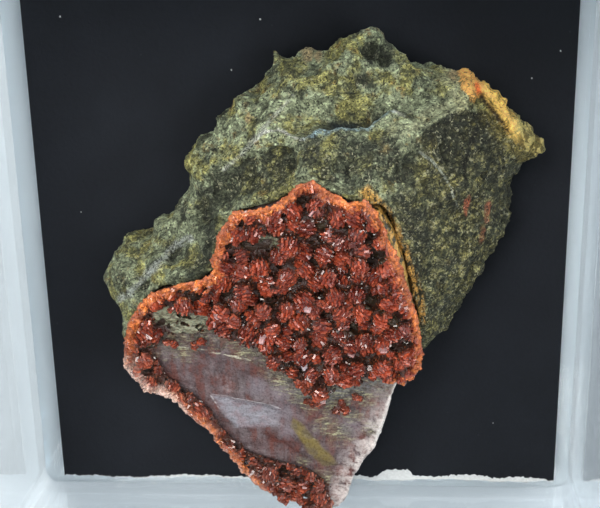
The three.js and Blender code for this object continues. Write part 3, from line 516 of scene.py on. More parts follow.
class Surface(Graph):
    """A material's tree, with the point on the piece in millimetres and the colour as far as it's laid on."""

    def __init__(self, name, colour=None):
        self.material = bpy.data.materials.new(name)
        self.material.use_nodes = True
        super().__init__(self.material.node_tree)
        self.tree.nodes.clear()
        self.place = self.scaled(self.output("ShaderNodeTexCoord", which="Object"), 1.0 / MM)
        self.colour = colour

    def attribute(self, name):
        return self.output("ShaderNodeAttribute", which="Fac", attribute_name=name)

    def frayed(self, name, ragged, outside, inside):
        """0 to 1 between two levels of an attribute, with an edge that a ragged noise frays."""
        return (self.attribute(name) + ragged).fit(outside, inside)

    def line(self, name, ragged, width):
        """1 along a line that an attribute tells the distance to, and 0 beyond its frayed edge."""
        return self.frayed(name, ragged, width, 0.3 * width)

    def mix(self, share, first, second, blend="MIX"):
        inputs = {0: share, 6: first, 7: second}
        return self.output("ShaderNodeMix", inputs, 2, data_type="RGBA", blend_type=blend)

    def dimmed(self, colour, factor):
        """The colour times one number."""
        grey = self.output("ShaderNodeCombineColor", {0: factor, 1: factor, 2: factor})
        return self.mix(1.0, colour, grey, "MULTIPLY")

    def lay(self, paint, share):
        """Lays a paint over the colour."""
        self.colour = self.mix(share, self.colour, paint)

    def dim(self, factor):
        """Darkens or brightens the colour."""
        self.colour = self.dimmed(self.colour, factor)

    def relief(self, height, depth, strength=1.0, below=None):
        """A bump of depth millimetres from a height between 0 and 1."""
        inputs = {"Height": height, "Distance": depth * MM, "Strength": strength}
        if below is not None:
            inputs["Normal"] = below
        return self.output("ShaderNodeBump", inputs)

    def finish(self, volume=None, **inputs):
        """Closes the tree with one Principled shader. Names of sockets are written with _ for a space."""
        sockets = {name.replace("_", " "): value for name, value in inputs.items()}
        sockets["Base Color"] = self.colour
        ends = {"Surface": self.output("ShaderNodeBsdfPrincipled", sockets)}
        if volume:
            ends["Volume"] = volume
        self.node("ShaderNodeOutputMaterial", ends)
        return self.material


class Growth(Graph):
    """A geometry tree with the point and the normal of the mesh, which apply() runs on a piece."""

    def __init__(self, name):
        super().__init__(bpy.data.node_groups.new(name, "GeometryNodeTree"))
        for way in ("INPUT", "OUTPUT"):
            self.tree.interface.new_socket("Geometry", in_out=way, socket_type="NodeSocketGeometry")
        self.mesh = self.output("NodeGroupInput")
        self.place = self.scaled(self.output("GeometryNodeInputPosition"), 1.0 / MM)
        self.normal = self.output("GeometryNodeInputNormal")

    def attribute(self, name):
        return self.output("GeometryNodeInputNamedAttribute", {"Name": name}, data_type="FLOAT")

    def upwards(self, low, high):
        """0 to 1 between two levels of how far the mesh faces up."""
        return self.parts(self.normal)[2].fit(low, high)

    def keep(self, geometry, name, value, domain="POINT"):
        inputs = {"Geometry": geometry, "Name": name, "Value": value}
        return self.output("GeometryNodeStoreNamedAttribute", inputs, data_type="FLOAT", domain=domain)

    def raise_by(self, geometry, height):
        """Moves the mesh along its normals by a height in millimetres."""
        offset = self.scaled(self.scaled(self.normal, height), MM)
        return self.output("GeometryNodeSetPosition", {"Geometry": geometry, "Offset": offset})

    def chance(self, low, high, seed):
        inputs = {2: low, 3: high, "Seed": seed}
        return self.output("FunctionNodeRandomValue", inputs, 1, data_type="FLOAT")

    def copies(self, points, **inputs):
        return self.output("GeometryNodeInstanceOnPoints", {"Points": points, **inputs})

    def apply(self, piece, geometry, realize=False):
        if realize:
            geometry = self.output("GeometryNodeRealizeInstances", {"Geometry": geometry})
        self.node("NodeGroupOutput", {0: geometry})
        apply_modifier(piece, "NODES", node_group=self.tree)
        bpy.data.node_groups.remove(self.tree)


def select_only(*pieces):
    """Selects these objects alone and makes the first one active."""
    bpy.ops.object.select_all(action="DESELECT")
    for piece in pieces:
        piece.select_set(True)
    bpy.context.view_layer.objects.active = pieces[0]


def join(*pieces):
    """Makes one object of several, under the name of the first."""
    select_only(*pieces)
    bpy.ops.object.join()


def apply_modifier(piece, kind, **settings):
    """Adds a modifier to the piece and applies it."""
    select_only(piece)
    modifier = piece.modifiers.new(kind.title(), kind)
    for name, value in settings.items():
        setattr(modifier, name, value)
    bpy.ops.object.modifier_apply(modifier=modifier.name)


def refine(piece, edge, smoothings=0):
    """Gives the piece small even faces and softens them."""
    apply_modifier(piece, "REMESH", mode="VOXEL", voxel_size=edge)
    if smoothings:
        apply_modifier(piece, "SMOOTH", factor=0.5, iterations=smoothings)


def new_piece(name, data):
    """An object of its own in the scene."""
    piece = bpy.data.objects.new(name, data)
    bpy.context.scene.collection.objects.link(piece)
    return piece


def copy_of_node(node, name):
    """A piece with the merged mesh of a solid."""
    piece = new_piece(name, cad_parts[node].data.copy())
    piece.data.materials.clear()
    select_only(piece)
    bpy.ops.object.mode_set(mode="EDIT")
    bpy.ops.mesh.select_all(action="SELECT")
    bpy.ops.mesh.remove_doubles(threshold=MERGE_DISTANCE * MM)
    bpy.ops.mesh.customdata_custom_splitnormals_clear()
    bpy.ops.object.mode_set(mode="OBJECT")
    return piece


def place_in_mesh(piece):
    """Moves the object's place, turn and size into its mesh."""
    select_only(piece)
    bpy.ops.object.transform_apply(location=True, rotation=True, scale=True)


def points_of(piece):
    """The mesh's points in millimetres, as rows of x, y and z."""
    places = np.zeros(len(piece.data.vertices) * 3, np.float32)
    piece.data.vertices.foreach_get("co", places)
    return places.reshape(-1, 3).astype(float) / MM


def set_points(piece, points):
    """Writes points in millimetres back to the mesh."""
    piece.data.vertices.foreach_set("co", (points * MM).astype(np.float32).ravel())
    piece.data.update()


def paint(piece, name, values):
    """Stores one number for each point of the mesh."""
    attribute = piece.data.attributes.get(name) or piece.data.attributes.new(name, "FLOAT", "POINT")
    attribute.data.foreach_set("value", np.asarray(values, np.float32))


def paint_evenly(piece, **values):
    """Stores the same number for all points, under each name."""
    for name, value in values.items():
        paint(piece, name, np.full(len(piece.data.vertices), value))


def paint_map(piece, measure, areas):
    """Stores how each point lies to each named line, outline or set of spots."""
    points = points_of(piece)
    for name, area in areas.items():
        paint(piece, name, measure(points, area))


def distance_to_line(points, line):
    """How far each point lies from a line of corners, seen from above."""
    nearest = np.full(len(points), np.inf)
    for (x1, y1), (x2, y2) in zip(line, line[1:]):
        along = np.array([x2 - x1, y2 - y1])
        offset = points[:, :2] - (x1, y1)
        share = np.clip(offset @ along / (along @ along), 0.0, 1.0)
        nearest = np.minimum(nearest, np.hypot(*(offset - share[:, None] * along).T))
    return nearest


def beyond_line(points, line):
    """The distance to a line that runs along X, above 0 on its +Y side and below 0 on the other."""
    side = np.where(points[:, 1] > np.interp(points[:, 0], *np.array(line).T), 1.0, -1.0)
    return distance_to_line(points, line) * side


def depth_inside(points, outline):
    """How deep each point lies inside a closed outline, seen from above, and below 0 outside it."""
    closed = outline + outline[:1]
    inside = np.zeros(len(points), bool)
    x, y = points[:, 0], points[:, 1]
    for (x1, y1), (x2, y2) in zip(closed, closed[1:]):
        if y1 != y2:
            crosses = (y1 > y) != (y2 > y)
            inside ^= crosses & (x < (x2 - x1) * (y - y1) / (y2 - y1) + x1)
    return distance_to_line(points, closed) * np.where(inside, 1.0, -1.0)


def in_spots(points, spots):
    """1 at the middle of the nearest spot, 0 at its edge and below 0 outside."""
    best = np.full(len(points), FAR_OUTSIDE)
    for x, y, radius in spots:
        best = np.maximum(best, 1.0 - np.hypot(points[:, 0] - x, points[:, 1] - y) / radius)
    return best


def under_crust(points):
    """How deep each point lies inside the crust's outline, the crust's gap in front left open."""
    return np.maximum(depth_inside(points, CRUST_UPPER_PART), depth_inside(points, CRUST_RIM_PART))


def seen_from_above(body, x, y):
    """The body's highest point at x and y, or None beside it."""
    hit, place, _, _ = body.ray_cast(Vector((x, y, RAY_START)) * MM, Vector((0.0, 0.0, -1.0)))
    return place if hit else None


def attach(piece, material, slot, *nodes, smooth=True):
    """Finishes a piece: one material and the solids that it stands for. The slot is not used."""
    piece.data.materials.clear()
    piece.data.materials.append(material)
    select_only(piece)
    if smooth:
        bpy.ops.object.shade_smooth()
    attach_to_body(piece, BODY)
    if nodes:
        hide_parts(*nodes)


def colours():
    return bpy.context.scene.specimen_colours


def sizes():
    return bpy.context.scene.specimen_sizes


# Stage


class BuildStage(bpy.types.Operator):
    """Pale floor, soft lights, surroundings and the camera"""

    bl_idname = "specimen.build_stage"
    bl_label = "Stage"

    def execute(self, context):
        scene = context.scene
        scene.view_settings.view_transform = "Standard"
        build_floor()
        for light in LIGHTS:
            build_light(*light)
        world = bpy.data.worlds.new("studio")
        world.use_nodes = True
        background = world.node_tree.nodes["Background"]
        background.inputs["Color"].default_value = SURROUNDINGS_COLOUR
        background.inputs["Strength"].default_value = SURROUNDINGS_STRENGTH
        scene.world = world
        scene.camera = build_camera()
        return {"FINISHED"}


def build_floor():
    bpy.ops.mesh.primitive_plane_add(size=FLOOR_WIDTH * MM, location=(0.0, 0.0, -FLOOR_GAP * MM))
    floor = bpy.context.object
    floor.name = "floor"
    surface = Surface("pale floor", colours().floor)
    surface.dim(surface.noise(18.0).fit(0.3, 0.7, 0.97, 1.03))
    floor.data.materials.append(surface.finish(Roughness=0.6))


def build_light(name, place, width, watts, colour):
    """A square soft light that faces the specimen."""
    light = bpy.data.lights.new(name, "AREA")
    light.shape = "SQUARE"
    light.size = width * MM
    light.energy = watts
    light.color = colour
    lamp = new_piece(name, light)
    lamp.location = Vector(place) * MM
    lamp.rotation_euler = (-Vector(place)).to_track_quat("-Z", "Y").to_euler()


def build_camera():
    lens = bpy.data.cameras.new("camera")
    lens.lens = CAMERA_LENS
    lens.sensor_width = CAMERA_SENSOR
    lens.clip_start = CAMERA_CLIP * MM
    camera = new_piece("camera", lens)
    right = Vector(CAMERA_RIGHT)
    up = Vector(CAMERA_UP)
    turn = Matrix((right, up, right.cross(up))).transposed().to_4x4()
    camera.matrix_world = Matrix.Translation(Vector(CAMERA_PLACE) * MM) @ turn
    return camera


# Clear box


class BuildBox(bpy.types.Operator):
    """The clear plastic box base"""

    bl_idname = "specimen.build_box"
    bl_label = "Clear box"

    def execute(self, context):
        box = copy_of_node("box_base", "clear_box")
        sharpest = math.radians(BEVEL_ANGLE)
        width = sizes().box_bevel
        apply_modifier(box, "BEVEL", width=width, segments=3, limit_method="ANGLE", angle_limit=sharpest)
        attach(box, clear_plastic(), "clear_plastic", "box_base")
        apply_modifier(box, "WEIGHTED_NORMAL", weight=100)
        return {"FINISHED"}


def clear_plastic():
    surface = Surface("clear plastic", colours().plastic)
    haze = surface.noise(9.0, 4.0)
    scuffs = surface.noise(0.7, 5.0, 0.7, warp=(2.0, 0.5))
    tint = {"Color": PLASTIC_DEPTH, "Density": PLASTIC_DENSITY}
    return surface.finish(
        Roughness=(haze * scuffs).fit(0.15, 0.45, 0.01, 0.08),
        IOR=1.49,
        Transmission_Weight=1.0,
        Normal=surface.relief(haze, 0.03, 0.5),
        volume=surface.output("ShaderNodeVolumeAbsorption", tint),
    )


# Black card


class BuildCard(bpy.types.Operator):
    """The black card with its torn edge, and the dust on it"""

    bl_idname = "specimen.build_card"
    bl_label = "Black card"

    def execute(self, context):
        low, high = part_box("black_card")
        paper = sizes().card_paper
        core = card_layer("card", low, high, high.z - paper, high.z - paper - low.z, False)
        face = card_layer("card_face", low, high, high.z, paper, True)
        core.data.materials.append(card_core())
        face.data.materials.append(card_black())
        join(core, face)
        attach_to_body(core, BODY)
        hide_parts("black_card")
        build_dust(high.z)
        return {"FINISHED"}


def card_layer(name, low, high, top, depth, torn):
    """A sheet over the card's place whose lower edge is wavy, and torn back where the layer is torn."""
    middle = (low + high) / 2
    columns, rows = CARD_GRID
    place = (middle.x, middle.y, top)
    bpy.ops.mesh.primitive_grid_add(x_subdivisions=columns, y_subdivisions=rows, size=1.0, location=place)
    layer = bpy.context.object
    layer.name = name
    layer.scale = (high.x - low.x, high.y - low.y, 1.0)
    place_in_mesh(layer)
    points = points_of(layer)
    front = low.y / MM
    x = points[:, 0]
    edge = front + CARD_INSET + waves(x, CARD_WAVES)
    if torn:
        edge = edge + np.interp(x, *np.array(CARD_TEAR).T) + waves(x, TEAR_WAVES)
    near = np.clip(1.0 - (points[:, 1] - front) / CARD_EDGE_REACH, 0.0, 1.0)
    points[:, 1] += near * (edge - front)
    set_points(layer, points)
    apply_modifier(layer, "SOLIDIFY", thickness=depth, offset=-1.0)
    return layer


def waves(x, table):
    """The sum of the table's waves at x."""
    return sum(height * np.sin(x * pace + start) for height, pace, start in table)


def card_black():
    surface = Surface("black paper", colours().card_black)
    fibre = surface.noise(0.35, 4.0, 0.65, warp=(1.4, 0.4))
    surface.dim((surface.noise(6.0, 2.0) * 0.6 + fibre * 0.4).fit(0.3, 0.7, 0.78, 1.25))
    surface.lay(CARD_FLECK, surface.cells(2.3).fit(0.0, 0.05, 1.0, 0.0) * 0.12)
    return surface.finish(Roughness=0.72, Specular_IOR_Level=0.15, Normal=surface.relief(fibre, 0.05, 0.6))


def card_core():
    surface = Surface("torn paper core", colours().card_core)
    fibre = surface.noise(0.25, 4.0, 0.7, warp=(0.9, 0.4))
    surface.dim(fibre.fit(0.3, 0.7, 0.8, 1.05))
    return surface.finish(Roughness=0.9, Normal=surface.relief(fibre, 0.12, 0.8))


def build_dust(top):
    """Pale specks that lie on the card, joined in one mesh."""
    random = np.random.default_rng(DUST_SEED)
    specks = []
    for x, y, millimetres in CARD_DUST:
        width = millimetres * MM
        place = (x * MM, y * MM, top + 0.3 * width)
        bpy.ops.mesh.primitive_ico_sphere_add(subdivisions=2, radius=width / 2, location=place)
        speck = bpy.context.object
        speck.scale = (1.0, random.uniform(0.6, 1.0), 0.6)
        speck.rotation_euler = (0.0, 0.0, random.uniform(0.0, math.pi))
        place_in_mesh(speck)
        points = points_of(speck)
        set_points(speck, points + random.uniform(-DUST_RAGGED, DUST_RAGGED, points.shape))
        specks.append(speck)
    join(*specks)
    dust = specks[0]
    dust.name = "dust"
    surface = Surface("dust")
    surface.colour = surface.vector("MULTIPLY", DUST_COLOUR, surface.noise(0.05).fit(0.3, 0.7, 0.5, 1.0))
    attach(dust, surface.finish(Roughness=0.8), "black_card")


# Rock


class BuildRock(bpy.types.Operator):
    """The green rock, with its ledges, seam and ochre rind"""

    bl_idname = "specimen.build_rock"
    bl_label = "Green rock"

    def execute(self, context):
        rock = copy_of_node("matrix_rock", "rock")
        refine(rock, sizes().rock_mesh, 3)
        paint_map(rock, depth_inside, {"cover": CRUST_OUTLINE})
        paint_map(rock, beyond_line, {"ledge": ROCK_LEDGE, "brow": ROCK_BROW, "rind": RIND_EDGE})
        paint_map(rock, distance_to_line, {"crevice": RIND_CREVICE, "ridge": RIND_RIDGE})
        paint_map(rock, in_spots, ROCK_SPOTS)
        roughen_rock(rock)
        points = points_of(rock)
        points[:, 2] = np.maximum(points[:, 2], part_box("black_card")[1].z / MM)
        set_points(rock, points)
        paint_map(rock, beyond_line, {"rind": RIND_EDGE})
        paint_map(rock, distance_to_line, ROCK_LINES)
        attach(rock, green_rock(), "green_rock", "matrix_rock")
        return {"FINISHED"}


def roughen_rock(rock):
    """Lumps, ridges, chipped hollows and grains, rugged in some places and smooth in others."""
    growth = Growth("rock relief")
    height = sizes().rock_lumps / MM
    x, y, _ = growth.parts(growth.place)
    lumps = growth.noise(3.8, 2.0, warp=LUMP_WARP) - 0.5
    ridges = growth.noise(2.4, 4.0, 0.6, kind="RIDGED_MULTIFRACTAL", warp=LUMP_WARP) - 0.45
    fine = growth.noise(0.5, 3.0, 0.7) - 0.5
    chips = growth.cells(1.5, warp=(1.2, 0.5)) - 0.45
    small_chips = growth.cells(0.7, warp=(0.8, 0.3)) - 0.45
    blocks = growth.parts(growth.cells(1.3, output="Color", warp=(1.0, 0.35)))[0] - 0.5
    small_blocks = growth.parts(growth.cells(0.6, output="Color", warp=(0.6, 0.2)))[0] - 0.5
    cavity = chips * (0.5 * height) + small_chips * (0.2 * height)
    cavity = cavity + blocks * (0.3 * height) + small_blocks * (0.15 * height) + fine * 0.5
    cavity = cavity * growth.noise(4.0, 2.0).fit(0.42, 0.6, 0.35, 1.1)
    right_face = (x - y * 0.3).fit(7.0, 11.0)
    striae = growth.noise(0.8, warp=LUMP_WARP, stretch=(1.6, 0.35, 1.0)) - 0.5
    relief = lumps * (1.6 * height) + ridges * (0.9 * height) + cavity + striae * right_face * 0.6
    ledge = growth.attribute("ledge")
    groove = abs(ledge - 0.35).fit(0.1, 0.4, -0.5, 0.0, smooth=True)
    relief = relief + groove * (x.fit(1.8, 3.0) * x.fit(7.4, 6.4))
    relief = relief + abs(ledge + 0.1).fit(0.0, 0.35, 0.25, 0.0, smooth=True)
    hollow = growth.attribute("hollow") + lumps * 2.0 + fine * 0.8
    relief = relief + hollow.fit(-0.1, 0.9, 0.0, -0.85, smooth=True)
    relief = relief + growth.attribute("crevice").fit(0.4, 0.15, 0.0, -0.6, smooth=True)
    relief = relief + growth.attribute("ridge").fit(0.4, 0.05, 0.0, 0.3)
    rind = growth.attribute("rind").fit(0.0, 0.4)
    relief = relief + rind * (growth.cells(0.8, warp=(0.8, 0.4)) - 0.45) * 0.45
    relief = relief + rind * x.fit(18.0, 16.0, 0.0, 0.35) + 0.03
    cover = growth.attribute("cover")
    relief = relief * cover.fit(-1.0, 0.4, 1.0, 0.3) + abs(cover + 0.2).fit(1.2, 0.2, 0.0, 0.2)
    # The relief and the cavity are kept for the painted shade and light of the rock's finish.
    kept = growth.keep(growth.keep(growth.mesh, "relief", relief), "cavity", cavity)
    growth.apply(rock, growth.raise_by(kept, relief))


def green_rock():
    surface = Surface("green rock")
    x, y, _ = surface.parts(surface.place)
    ragged = surface.noise(0.9, 5.0, 0.65, warp=(0.8, 0.4)) - 0.5
    patches = surface.noise(2.4, 5.0, 0.58, warp=(3.0, 1.0)).fit(0.49, 0.58)
    surface.colour = surface.mix(patches, colours().rock_green, colours().rock_olive)
    surface.lay(ROCK_RUST, surface.noise(1.3, 5.0, 0.65).fit(0.59, 0.65) * 0.6)
    dark = surface.noise(1.1, 5.0, 0.68, warp=(1.6, 0.7))
    surface.lay(ROCK_DARK, dark.fit(0.52, 0.6) * 0.7)
    # Random light and dark mottling, painted as the light and shade of small lumps.
    mottle = surface.noise(0.5, 5.0, 0.75, warp=(0.6, 0.2))
    surface.dim(mottle.fit(0.38, 0.62, 0.5, 1.5))
    brow = surface.attribute("brow") + ragged * 0.5
    # Painted shade over the right face under the brow, streaked, in dark and lighter olive.
    shade_side = (x - y * 0.35).fit(3.5, 7.5) * brow.fit(0.1, -0.1)
    striae = surface.noise(0.9, 5.0, 0.65, warp=(2.0, 0.6), stretch=(1.5, 0.3, 1.0))
    face = surface.mix(mottle.fit(0.49, 0.57), FACE_SHADE_DARK, FACE_SHADE_LIGHT)
    surface.lay(surface.dimmed(face, striae.fit(0.36, 0.64, 0.4, 1.75)), shade_side * 0.85)
    # Painted shade below the brow, towards the right.
    shade_below_brow = brow.fit(0.05, -0.1) * brow.fit(-3.2, -0.6) * x.fit(8.0, 10.5)
    surface.dim(shade_below_brow.fit(0.0, 1.0, 1.0, 0.35))
    # Painted shade in the rock's low crevices.
    surface.lay(ROCK_CREVICE_SHADE, surface.attribute("relief").fit(-0.75, -0.35, 1.0, 0.0, smooth=True) * 0.6)
    # Painted shade in the small cavities and painted light on the small tops.
    surface.dim(surface.attribute("cavity").fit(-0.3, 0.2, 0.55, 1.4))
    shaded = surface.frayed("shaded", ragged * 1.6, 0.05, 0.45) * mottle.fit(0.64, 0.5, 0.25, 1.0)
    surface.lay(ROCK_SHADE, shaded * 0.85)
    creases = surface.cells(3.0, "DISTANCE_TO_EDGE", warp=(1.6, 0.8))
    surface.lay(ROCK_CREASE, creases.fit(0.07, 0.01) * dark.fit(0.44, 0.52) * 0.7)
    mark_rock(surface)
    tone, pick, _ = surface.parts(surface.cells(sizes().rock_grains / MM, output="Color", warp=(0.4, 0.1)))
    rind = surface.attribute("rind").fit(0.0, 0.3)
    speckle = surface.math("POWER", tone, 1.5).fit(0.0, 1.0, rind.fit(0.0, 1.0, 0.45, 0.95), 1.8)
    shade = shaded.most(shade_side)
    surface.dim(((1.0 - patches) * (1.0 - shade) * 0.18).fit(0.0, 1.0, speckle, 0.95))
    # Pale grains, which also stand in for painted glints, a few more of them in the painted shade.
    bright = (pick + shade * 0.07).fit(0.93, 0.98) * (1.0 - rind)
    bright = bright * striae.fit(0.4, 0.6, 0.3, 1.0) * dark.fit(0.56, 0.44, 0.25, 1.0)
    surface.lay(PALE_GRAIN_AND_GLINT, bright * 0.75)
    surface.lay(BLACK_GRAIN, pick.fit(0.12, 0.09) * (1.0 - rind) * 0.8)
    coarse = surface.relief(surface.noise(0.5, 6.0, 0.75, warp=(0.9, 0.3)), 0.5)
    return surface.finish(
        Roughness=bright.fit(0.0, 1.0, 0.65, 0.2),
        Specular_IOR_Level=0.35,
        Normal=surface.relief(tone, 0.07, below=coarse),
    )


def mark_rock(surface):
    """The ledge, lines, rind and stains on the rock, with painted highlights, shadows and shade among them.
    """
    ragged = surface.noise(0.7, 4.0, warp=(0.8, 0.3)) - 0.5
    broken = surface.noise(0.8, 4.0, 0.7).fit(0.38, 0.48)
    lay_ledge(surface, ragged, broken)
    for name, width, fraying, strength, tint in BROKEN_LINES:
        surface.lay(tint, surface.line(name, ragged * fraying, width) * broken * strength)
    for name, width, fraying, strength, tint in WHOLE_LINES:
        surface.lay(tint, surface.line(name, ragged * fraying, width) * strength)
    # Painted shade on the rock under the crust.
    surface.lay(ROCK_SHADE_UNDER_CRUST, surface.attribute("cover").fit(0.2, 0.6))
    lay_rind(surface, ragged, broken)
    lay_strip(surface, ragged)
    surface.lay(ROCK_TAN_COLOUR, surface.frayed("tan", ragged * 0.8, 0.25, 0.6) * 0.8)
    for x, y, strength in ROCK_STAINS:
        offset = surface.vector("SUBTRACT", surface.place, (x, y, 0.0))
        reach = surface.vector("LENGTH", surface.vector("MULTIPLY", offset, (1.9, 0.65, 0.0)))
        surface.lay(ROCK_STAIN_COLOUR, (reach + ragged * 1.0).fit(0.65, 0.35) * strength)


def lay_ledge(surface, ragged, broken):
    """A pale painted highlight along the ledge's lit edge, and the painted shadow behind it."""
    x = surface.parts(surface.place)[0]
    ledge = surface.attribute("ledge") + ragged * 0.35
    shadow_top = x.fit(4.3, 5.6, 0.75, 0.35) + ragged * 0.6
    shadow = ledge.fit(0.1, 0.2) * (shadow_top - ledge).fit(0.0, 0.2)
    surface.lay(LEDGE_SHADOW, shadow * x.fit(2.4, 3.4) * x.fit(7.8, 7.3) * 0.92)
    along = x.fit(-2.8, -2.4) * x.fit(9.0, 8.0)
    # The painted highlight is paler at its ends and bluer in the middle.
    highlight_colour = surface.mix(x.fit(0.8, 1.8) * x.fit(8.2, 7.6), LEDGE_HIGHLIGHT_ENDS, LEDGE_HIGHLIGHT_MIDDLE)
    surface.lay(highlight_colour, abs(ledge).fit(0.16, 0.05) * broken * along * 0.9)


def lay_rind(surface, ragged, broken):
    """The rock's weathered rind in streaks of ochre, with painted shade in its crevice, its ridge and dark
    knob.
    """
    x = surface.parts(surface.place)[0]
    band = surface.noise(0.6, 5.0, 0.65, warp=(1.0, 0.3), turn=RIND_TURN, stretch=(0.5, 1.7, 1.0))
    rind = surface.mix(band.fit(0.44, 0.53), RIND_DULL, RIND_BRIGHT)
    rind = surface.mix(band.fit(0.43, 0.38), rind, RIND_BROWN)
    rind = surface.mix((x + ragged * 1.2).fit(15.0, 14.5) * 0.7, rind, RIND_ORANGE)
    cracks = surface.cells(1.1, "DISTANCE_TO_EDGE", warp=(0.9, 0.5))
    rind = surface.mix(cracks.fit(0.07, 0.015) * broken * 0.75, rind, RIND_CRACK)
    rind = surface.mix(surface.line("red", ragged * 0.5, 0.3) * 0.9, rind, RIND_RED_COLOUR)
    outer = surface.frayed("rind", ragged * 1.6, 1.5, 2.1) * x.fit(14.9, 15.6) * band.fit(0.56, 0.47)
    rind = surface.mix(outer * 0.75, rind, RIND_OUTER)
    rind = surface.mix(surface.line("ridge", ragged * 0.5, 0.26) * 0.85, rind, colours().rock_ochre)
    grooves = surface.noise(0.6, 4.0, 0.6, warp=(0.8, 0.3), stretch=(1.6, 0.5, 1.0))
    knob = surface.mix(grooves.fit(0.46, 0.53), KNOB_DARK, KNOB_LIGHT)
    rind = surface.mix((x + ragged * 1.5).fit(16.6, 17.8, 0.0, 0.9), rind, knob)
    edge = surface.attribute("rind") + ragged * 0.8
    surface.lay(BESIDE_RIND, edge.fit(-1.1, -0.5) * x.fit(14.0, 15.2) * band.fit(0.4, 0.52) * 0.75)
    surface.lay(rind, edge.fit(-0.05, 0.12) * 0.97)
    # Painted shade in the rind's crevice.
    surface.lay(RIND_CREVICE_SHADE, surface.line("crevice", ragged * 0.35, 0.3) * 0.95)


def lay_strip(surface, ragged):
    """The cracked ochre strip beside the crust's right edge, which the rock and the vein share."""
    cracks = surface.noise(0.5, warp=(0.6, 0.3), stretch=(2.2, 0.7, 1.0))
    strip = surface.mix(cracks.fit(0.5, 0.44), STRIP_OCHRE, STRIP_CRACK)
    surface.lay(strip, surface.frayed("strip", ragged * 0.6, 0.6, 0.25) * 0.9)


# Pale vein


class BuildVein(bpy.types.Operator):
    """The pale vein under the crystals, with its cleavage steps"""

    bl_idname = "specimen.build_vein"
    bl_label = "Pale vein"

    def execute(self, context):
        vein = copy_of_node("pale_slab", "vein")
        refine(vein, sizes().vein_mesh, 2)
        step_vein(vein)
        paint_map(vein, depth_inside, VEIN_PARTS)
        paint_map(vein, distance_to_line, VEIN_LINES)
        paint_map(vein, in_spots, VEIN_SPOTS)
        paint(vein, "under", under_crust(points_of(vein)))
        attach(vein, pale_vein(), "pale_vein", "pale_slab")
        return {"FINISHED"}


def step_vein(vein):
    """Low cleavage steps that run down to the right, and a fine waviness."""
    growth = Growth("vein steps")
    across = growth.vector("DOT_PRODUCT", growth.moved(warp=(3.0, 0.5)), STEP_DIRECTION)
    step = growth.math("SNAP", across + growth.noise(3.0), STEP_WIDTH)
    relief = growth.math("FRACT", step * 0.37) * (sizes().vein_steps / MM)
    relief = relief + (growth.noise(1.6) - 0.5) * 0.25
    relief = relief + (growth.noise(0.5, stretch=(0.4, 2.0, 1.0)) - 0.5) * 0.1
    growth.apply(vein, growth.raise_by(growth.mesh, relief))


